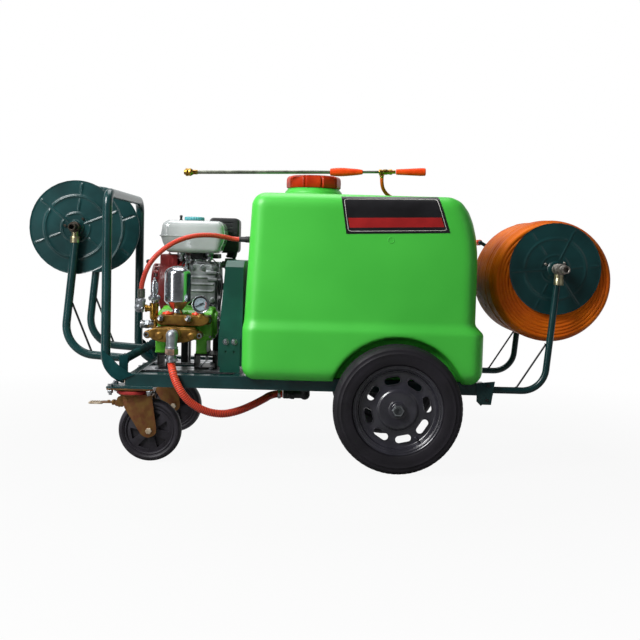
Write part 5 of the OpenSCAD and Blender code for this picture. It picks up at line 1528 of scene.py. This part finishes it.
bm = bmesh.new()
for x in (-478, -380):
    turned(bm, [(6.5, 632.3), (6.5, 642), (11, 642.4), (11, 651), (6.5, 651.4), (6.5, 664)],
        (x, 60, 0), Z, 6)
    turned(bm, [(12.5, 640), (12.5, 642.2)], (x, 60, 0), Z, 32)
    hollow(bm, [(6, 652), (12, 652), (14, 655), (14, 662), (6, 664)], (x, 60, 0), Z, 32)
piece(bm, "fuel_tank_studs", ZINC, smooth=34)
FUEL_CAP_AT = (-441, 112, 0)
bm = bmesh.new()
turned(bm, [(6, 770), (6, 775), (4.4, 776), (4, 783), (5.2, 784), (5.2, 789), (3.6, 791)],
    (-481, 62, 0), Z, 20)
hollow(bm, [(30, 771), (35.6, 771), (36.4, 773), (35, 774.6), (30, 774.6)], FUEL_CAP_AT, Z, 64)
piece(bm, "fuel_tank_vent", BLACK_PLASTIC, smooth=40)

bm = bmesh.new()
turned(bm, [(33, 775), (34.2, 776), (34.4, 779), (34, 785), (32.4, 787), (29, 787.4), (27, 786), (12, 786),
    (10, 787.2)], FUEL_CAP_AT, Z, 192,
    wave=lambda a, r, h: 1.0 + 0.022 * math.cos(24 * a) if r > 31 else 1.0)
piece(bm, "fuel_cap_moulded", CAP_TEAL, "fuel_cap", "petrol_cap", smooth=45)

# %% Air filter, carburettor and silencer
bm = bmesh.new()
shell_along_y(bm, (-400, 664), (-292, 790), 18, [(205, 7), (205.6, 3.4), (207.4, 1.2), (210, 0.2), (248, 0),
    (248.4, 1.6), (251.6, 1.6), (252, 0), (301, 0.6), (305, 3), (307, 8)], 6)
case = solid(bm)
for k in range(4):
    bm = bmesh.new()
    block(bm, (-376, 200, 770 - 13 * k), (-316, 209, 775 - 13 * k), 1.5)
    case = combined(case, bm)
bm = taken(case)
for x in (-388, -304):
    block(bm, (x - 5, 203.5, 722), (x + 5, 256, 738), 1.5)
pipe(bm, [(-322, 242, 676), (-322, 242, 660), (-323, 242, 646.4)], 12, 16, 32)
hollow(bm, [(16, 650), (19, 650), (19.6, 652), (19, 656), (16, 656)], (-322, 242, 0), Z, 40)
pipe(bm, [(-316, 224, 704), (-307, 218, 680), (-306, 216, 662), (-312, 218, 646)], 16, 8, 20)
piece(bm, "air_filter_moulding", BLACK_PLASTIC, "air_filter", smooth=36)

bm = bmesh.new()
block(bm, (-344, 226, 603), (-304, 258, 645), 4)
turned(bm, [(14, 572), (17, 576), (17, 598), (18.5, 600), (18.5, 604)], (-324, 242, 0), Z, 40)
turned(bm, [(13, -355), (13, -344), (17, -343), (17, -338)], (0, 242, 622), X, 32)
bm = fused(bm, 1.4, 2)
bolt(bm, (-324, 242, 572), -Z, 8, washer=False)
rod(bm, (-318, 222, 630), (-318, 262, 630), 2.6)
block(bm, (-326, 220, 620), (-310, 223, 634), 0.8)
piece(bm, "carburettor_casting", ALUMINIUM, "carburettor", smooth=45)

bm = bmesh.new()
shell_along_y(bm, (-506, 644), (-406, 726), 24, [(222, 8), (222.8, 4), (225, 1), (228, 0), (268, 0),
    (268.4, -2), (271.6, -2), (272, 0), (312, 0), (316, 2), (318, 7)], 7)
for x in (-492, -474, -456, -438, -420):
    block(bm, (x - 5, 318.6, 656), (x + 5, 322.6, 714), 1.6)
block(bm, (-496, 317.5, 650), (-416, 319.4, 656), 0.6)
block(bm, (-496, 317.5, 714), (-416, 319.4, 720), 0.6)
turned(bm, [(12, 628), (12, 640), (17, 641), (17, 646)], (-452, 262, 0), Z, 32)
hollow(bm, rectangle((9, 0), (11, 14)), (-490, 300, 700), -X, 32)
piece(bm, "silencer_pressing", MUFFLER_STEEL, "muffler", smooth=36)

# %% Speed lever
bm = bmesh.new()
turned(bm, [(6, 38), (7, 39), (7, 48), (6, 49)], (-458, 0, 614), Y, 24)
prism(bm, round_outline([(-461.5, 612), (-454.5, 612), (-455.4, 650), (-460.6, 650)], 3, 4),
    43, 46, "y", 0.6)
turned(bm, [(4, 32), (5, 33), (5.2, 38), (4.6, 46)], (-458, 0, 650), Y, 20)
piece(bm, "speed_lever_plated", ZINC, "throttle_lever", "speed_lever", smooth=36)

# %% [markdown]
# ## Belt drive and guard
# Both pulleys are turned cast iron with two V-grooves. The guard is a tray of sheet
# steel, folded and welded, open towards the engine, held by two bolts at its foot.

# %% Pulleys, belts and guard
def pulley(bm, r, hub, bore, at):
    """A two-groove pulley of outer radius r, dished on both faces when it is large."""
    outer = [(r - 1, -17), (r, -16)]
    for x in (-9, 9):
        outer += [(r, x - 6.8), (r - 9, x - 4.6), (r - 9, x + 4.6), (r, x + 6.8)]
    outer += [(r, 16), (r - 1, 17)]
    if r > 60:
        face = [(r - 20, 17), (r - 23, 13), (hub + 2, 13), (hub, 17)]
    else:
        face = [(hub, 17)]
    profile = outer + face + [(bore, 17), (bore, -17)] + [(a, -b) for a, b in face[::-1]]
    hollow(bm, profile, at, X, 128)

bm = bmesh.new()
pulley(bm, 34.5, 20, 12.4, (-284, *CRANK))
lathe(bm, [(0, -470), (11.6, -470), (12.5, -469), (12.5, -261), (11.6, -260), (4, -260), (3, -262),
    (0, -263)], CRANK_AT, X, 40)
block(bm, (-272, 127, 555), (-262, 133, 561.5), 0.6)
piece(bm, "crankshaft_pulley_turned", PULLEY_IRON, "engine_pulley", "crankshaft", smooth=32)

bm = bmesh.new()
pulley(bm, 124.5, 30, 11.9, (-284, *PUMP))
lathe(bm, [(0, -545), (11, -545), (12, -544), (12, -261), (11, -260), (4, -260), (3, -262),
    (0, -263)], PUMP_AT, X, 40)
bolt_circle(bm, (-267, *PUMP), X, 21, 3, 30, 7)
piece(bm, "pump_pulley_turned", PULLEY_IRON, "pump_pulley", "pump_shaft", smooth=32)

dressed("drive_belts", BELT_RUBBER, 1.0)
dressed("belt_guard", GUARD_PAINT, 1.1)

bm = bmesh.new()
for x in (-293, -266):
    bolt(bm, (x, -198.4, 380), -Y, 15, dome=True)
piece(bm, "guard_bolts", ZINC, smooth=36)

# %% Stands under pump and engine
dressed("machine_stands", BRACE_PAINT, 1.2)
bm = bmesh.new()
for x in (-509, -367):
    for y in (-104, -8):
        bolt(bm, (x, y, 330), Z, 10)
for x, y in ((-521, -142), (-346, -142), (-521, 134), (-346, 134)):
    bolt(bm, (x, y, 280), Z, 13, shank=5)
for x, z in ((-362, 318), (-382, 290), (-346, 300)):
    bolt(bm, (x, -124.3, z), -Y, 9, dome=True)
rod(bm, (-384, -127, 288), (-358, -127, 314), 2.2)
piece(bm, "stand_bolts", ZINC, smooth=34)
print("engine and drive ready")

# %% [markdown]
# ## Pump
# A three-plunger pump. The lime crankcase carries the crankshaft in two end bearings.
# In front of it lie two brass castings, the suction side below and the delivery side
# above, with cast lugs and plugs. The round orange-red caps close the valves.

# %% Pump crankcase
bm = bmesh.new()
body = [(-128, 385), (-128, 462), (-104, 478), (-20, 482), (8, 462), (14, 385), (-6, 374), (-110, 374)]
prism(bm, round_outline(body, 12, 4), -518, -346, "x", 3)
turned(bm, [(36, -532), (40, -529), (40, -337), (36, -334)], PUMP_AT, X, 64)
for x in (-492, -366):
    lathe(bm, [(0, 380), (26, 380), (26, 478), (22, 484), (0, 485)], (x, -70, 0), Z)
for x0, x1 in ((-534, -500), (-400, -364)):
    block(bm, (x0, -118, 331.5), (x1, 4, 378), 2.5)
    block(bm, (x0 - 1, -119, 330), (x1 + 1, 5, 337), 1.5)
for x in (-470, -432, -394):
    block(bm, (x - 3, -134, 388), (x + 3, -120, 470), 1.5)
turned(bm, [(17, 0), (15, 8)], (-432, -70, 480), Z, 32)
bm = fused(bm, 2.0, 4)
piece(bm, "pump_crankcase_casting", LIME_ENAMEL, "pump_crankcase", smooth=50)

bm = bmesh.new()
for x, s in ((-532, -1), (-334, 1)):
    bolt_circle(bm, (x - s * 0.4, *PUMP), s * X, 31, 4, 45, 7)
hollow(bm, [(12.6, -533.6), (21, -533.6), (22, -532.6), (22, -331.6), (21, -331),
    (12.6, -331)], PUMP_AT, X, 40)
for x in (-506, -352):
    for z in (388, 458):
        bolt(bm, (x, -130, z), -Y, 8, washer=False)
piece(bm, "pump_crankcase_bolts", ZINC, smooth=34)
bm = bmesh.new()
turned(bm, [(9, 488), (13, 489), (13.4, 492), (13, 499), (10, 501)], (-432, -70, 0), Z, 60,
    wave=flutes(12, 0.05, 11))
piece(bm, "pump_oil_cap", BLACK_PLASTIC, smooth=40)

# %% Brass castings
OUTLET_AT = (0, -172, 428)
bm = bmesh.new()
low = [(-540, 412), (-534, 388), (-508, 378), (-458, 373), (-412, 378), (-386, 388), (-380, 412),
    (-398, 421), (-522, 421)]
prism(bm, round_outline(low, 9, 4), -234, -172, "y", 3)
for x in (-542, -380):
    turned(bm, [(11, -228), (13, -226), (13, -180), (11, -178)], (x, 0, 399), Y, 32)
turned(bm, [(20, -246), (22, -244), (22, -230), (25, -224)], (-456, 0, 402), Y, 40)
turned(bm, [(20, -520), (20, -400)], (0, -153, 402), X, 40)
sweep(bm, [(-526, -212, 419), (-480, -222, 421), (-420, -222, 421), (-392, -206, 419)], 5, 12)
for x in (-502, -400):
    turned(bm, [(11, 0), (10, 5)], (x, -233, 396), -Y, 32)
bm = fused(bm, 1.5, 4)
casting = solid(bm)
for x in (-546, -376):
    bm = bmesh.new()
    turned(bm, [(4.5, -245), (4.5, -220)], (x, 0, 399), Y, 24)
    casting = combined(casting, bm)
bm = bmesh.new()
turned(bm, [(13.6, -580), (13.6, -524)], OUTLET_AT, X, 40)
casting = combined(casting, bm)
piece(taken(casting), "suction_casting", BRASS, "suction_manifold", smooth=50)

bm = bmesh.new()
high = [(-520, 440), (-508, 428), (-372, 428), (-352, 436), (-346, 452), (-362, 462),
    (-508, 462), (-520, 456)]
prism(bm, round_outline(high, 7, 4), -205, -132, "y", 4)
for x in (-489, -394):
    lathe(bm, [(0, 455), (16, 455), (15, 464), (0, 465)], (x, -186, 0), Z, 32)
for x in (-503, -414):
    turned(bm, [(10, -214), (12, -206), (12, -200)], (x, 0, 449), Y, 32)
turned(bm, [(23, 455), (20, 465.6)], (-456, -165, 0), Z, 40)
turned(bm, [(13, 455), (11, 468.6)], (-376, -194, 0), Z, 32)
turned(bm, [(15, 0), (14, 8), (11, 9)], (-357, -176, 446), (0.75, -0.66, 0), 32)
bm = fused(bm, 1.5, 4)
casting = solid(bm)
bm = bmesh.new()
turned(bm, [(14.4, 420), (14.4, 470)], (-530, -175, 0), Z, 40)
casting = combined(casting, bm)
piece(taken(casting), "delivery_casting", BRASS, "delivery_manifold", smooth=50)

bm = bmesh.new()
for x in (-484, -389):
    turned(bm, [(16, 463), (17, 464), (17, 468), (15.6, 470), (7, 471), (6, 473)], (x, -186, 0), Z, 32)
piece(bm, "valve_caps", CAP_ORANGE, smooth=36)

bm = bmesh.new()
for x in (-503, -414):
    turned(bm, [(10.5, 0), (10.5, 2), (8.6, 2.4), (8.6, 9)], (x, -211, 450), (0.1, -0.8, 0.6), 6)
    turned(bm, [(5, 8), (5, 16), (4.2, 17)], (x, -211, 450), (0.1, -0.8, 0.6), 20)
for x in (-546, -376):
    hollow(bm, rectangle((4.7, 0), (8.6, 1.4)), (x, -228.2, 399), -Y, 32)
turned(bm, [(7.4, 0), (7.4, 3), (6, 4)], (-350.4, -182, 446), (0.75, -0.66, 0), 6)
piece(bm, "manifold_bolts", ZINC, smooth=34)

# %% [markdown]
# The air chamber is spun steel under chrome: a bullet on a cone. It smooths the
# pump's pulses. Next to it stands the gauge, with a plated bezel and a pale dial.

# %% Air chamber and gauge
CHAMBER = (-456, -165, 0)
bm = bmesh.new()
dome = [(43 * math.cos(math.radians(a)), 592 + 28 * math.sin(math.radians(a))) for a in range(0, 90, 6)]
lathe(bm, [(0, 466.4), (19, 466.4), (20, 467.4), (20, 471), (17, 472), (17, 477), (39.4, 501.4), (41.4, 503),
    (42.8, 505.4), (43, 508)] + dome + [(0, 620)], CHAMBER, Z, 96)
piece(bm, "air_chamber_chromed", CHROME, "air_chamber", smooth=36)

FACE = (-376, -205, 499)
bm = bmesh.new()
turned(bm, [(24, -22), (27, -20), (27.4, -4), (28.6, -3.4), (29, -2), (29, 0.6), (28.4, 1.8), (27, 2.2),
    (25.8, 1.4), (25.8, -2)], FACE, -Y, 72)
turned(bm, [(8, 469.4), (8, 474), (5.6, 474.4), (5.6, 479)], (-376, -194, 0), Z, 6)
lathe(bm, [(0, -2.5), (1.5, -2.5), (1.5, 1.4), (0, 1.5)], FACE, -Y, 20)
piece(bm, "gauge_case_plated", CHROME, "gauge_case", smooth=34)
bm = bmesh.new()
hollow(bm, rectangle((1.7, -1.9), (25.7, -1.2)), FACE, -Y, 64, 0)
hollow(bm, [(20.2, -1.2), (25.8, -1.2), (25.8, 1.3), (25.2, 1.5), (20.6, -0.5)], FACE, -Y, 72, 3)

def on_dial(a, r, out):
    """A point on the dial at angle a from straight up, turning with the clock."""
    t = math.radians(a)
    return (FACE[0] + r * math.sin(t), FACE[1] - out, FACE[2] + r * math.cos(t))

for k in range(31):
    a = -135 + 9 * k
    long = k % 5 == 0
    sweep(bm, [on_dial(a, 16.6 if long else 17.6, -1.15), on_dial(a, 19.2, -1.15)],
        0.5 if long else 0.3, 6, 1)
for k in range(7):
    a = -135 + 45 * k
    sweep(bm, [on_dial(a, 12.2, -1.15), on_dial(a, 14, -1.15)], 0.8, 6, 1)
sweep(bm, [on_dial(a, 15.3, -1.15) for a in range(-130, 60, 6)], 0.35, 6, 1)
sweep(bm, [on_dial(a, 17.6, -1.15) for a in range(64, 134, 6)], 1.2, 6, 2)
piece(bm, "gauge_dial", [DIAL, DIAL_INK, DIAL_RED, BLACK_PLASTIC], smooth=34)

bm = bmesh.new()
hollow(bm, rectangle((1.6, 0.6), (3.6, 1.5)), FACE, -Y, 32)
t = math.radians(27)
ahead, beside = Vector((-math.cos(t), 0, -math.sin(t))), Vector((math.sin(t), 0, -math.cos(t)))
tip = [(-11, 2.1), (-11, -2.1), (-3, -2.0), (18.5, -0.9), (19.5, 0), (18.5, 0.9), (-3, 2.0)]
corners = [Vector((FACE[0], 0, FACE[2])) + ahead * u + beside * v for u, v in tip]
prism(bm, [(p.x, p.z) for p in corners], FACE[1] - 1.35, FACE[1] - 0.7, "y", 0)
piece(bm, "gauge_pointer", DIAL_INK, "gauge_needle", "needle", smooth=34)

# %% [markdown]
# The relief valve is a brass body with a chromed spring housing screwed on top. Its
# forked lever lifts the spring. Beside it a plated elbow takes the return hose.

# %% Relief valve, elbow and outlet
VALVE = (-530, -175, 0)
bm = bmesh.new()
turned(bm, [(9, 442), (12, 445), (13.4, 449), (14, 455), (14, 486), (15, 487), (15, 497),
    (14, 498)], VALVE, Z)
turned(bm, [(10, 0), (10, 22), (12.4, 23), (12.4, 29.2)], (-530, -175, 480), -X, 32)
block(bm, (-527.7, -186, 421.6), (-520.3, -158, 446), 1.5)
piece(bm, "relief_valve_turned", TURNED_BRASS, "relief_valve", smooth=36)

bm = bmesh.new()
turned(bm, [(8, 498.4), (8, 501), (9.4, 502), (10, 503.6), (10, 526), (9.3, 527), (9.3, 529), (10, 530),
    (12, 531.4), (12.2, 534), (12.2, 561), (11, 564.6), (7, 566.4), (7, 571), (6, 572), (4, 572.4), (4, 579),
    (3.4, 580)], VALVE, Z)
piece(bm, "spring_housing_chromed", CHROME, "pressure_knob", "pressure_setting", smooth=34)

bm = bmesh.new()
for x, s, face in ((-546, -1, -545.5), (-520, 1, -514.5)):
    prism(bm, round_outline(rectangle((-184, 506), (-166, 524)), 5, 4), x + 0.3, x + 5.7, "x", 0.6)
    lathe(bm, [(0, 0), (6.4, 0), (6.4, 2.4), (5, 3.4), (0, 3.6)], (face, -174, 515), s * X, 24)
block(bm, (-546, -190, 508), (-514, -186, 520), 1)
block(bm, (-546, -188, 508), (-541, -176, 520), 0.8)
block(bm, (-519, -188, 508), (-514, -176, 520), 0.8)
prism(bm, round_outline([(-535, -216), (-525, -216), (-526, -188), (-534, -188)], 4, 4), 510, 516, "z", 0.6)
piece(bm, "release_lever_plated", ZINC, "relief_lever", "release_lever", smooth=34)

bm = bmesh.new()
ball(bm, (-578, -175, 482), 16, 40, 24)
turned(bm, [(15, 0), (15, 9)], (-574, -175, 480), X, 6)
turned(bm, [(14, 484), (14, 499), (15.6, 500), (15.6, 509), (14, 511), (10, 512), (9, 513), (9, 535),
    (8, 537)], (-573.4, -175, 0), Z, 36)
piece(bm, "return_elbow_plated", CAST_ZINC, "return_elbow", smooth=40)
bm = bmesh.new()
hollow(bm, [(9.2, 514), (11.6, 514), (12, 515), (11.4, 519), (12, 523), (11.4, 527), (12, 531), (11.4, 536),
    (11.8, 541), (11, 543), (9.2, 543)], (-572, -175, 0), Z, 36)
piece(bm, "return_hose_sleeve", SLEEVE, smooth=40)

bm = bmesh.new()
lathe(bm, [(0, -568), (9, -568), (9.6, -573), (11, -574), (13.4, -572), (13.8, -566), (13, -565),
    (13, -559)], OUTLET_AT, X)
turned(bm, [(13.6, -559), (15, -557.6), (15, -546), (13.6, -544.6)], OUTLET_AT, X, 6)
lathe(bm, [(0, -544.6), (11.4, -544.6), (11.4, -541), (13, -540), (13, -531), (12, -529),
    (0, -528)], OUTLET_AT, X)
piece(bm, "outlet_chromed", ZINC, "outlet_cock", smooth=34)

# %% Inlet elbow, union nut and clamp
ELBOW_AT = (-455, -282, 0)
bm = bmesh.new()
turned(bm, [(17, 0), (17, 35.6)], (-456, -282, 402), Y, 40)
ball(bm, (-455, -282, 402), 19.4, 48, 32)
turned(bm, [(16.4, 366), (18.6, 402)], ELBOW_AT, Z)
bm = fused(bm, 1.3, 3)
hollow(bm, [(12, 361), (19, 361), (19.6, 362), (19.6, 367), (19, 368), (12, 368)], ELBOW_AT, Z)
turned(bm, [(14, 318), (15, 319), (13.6, 324), (15, 326), (14, 341)], ELBOW_AT, Z, 40)
piece(bm, "inlet_elbow_plated", CAST_ZINC, "inlet_elbow", smooth=50)

bm = bmesh.new()
hollow(bm, [(14, 342), (19.6, 342), (21, 344), (21, 359), (19.6, 361.4), (14, 361.4)], ELBOW_AT, Z, 6)
piece(bm, "inlet_union_nut", NUT_PINK, smooth=30)

bm = bmesh.new()
hollow(bm, [(14.8, 321), (16.4, 321), (16.6, 322), (16.6, 333), (16.4, 334), (14.8, 334)], ELBOW_AT, Z)
block(bm, (-447, -304, 323), (-433, -295, 332), 1.5)
turned(bm, [(4.4, 0), (4.4, 4)], (-433, -299.5, 327.5), X, 6)
hollow(bm, rectangle((13.6, 0), (15.4, 9)), (-115.5, -120, 204), -X)
block(bm, (-124, -139, 199), (-116, -132.5, 209), 1.2)
piece(bm, "hose_clamps", ZINC, smooth=34)
print("pump ready")
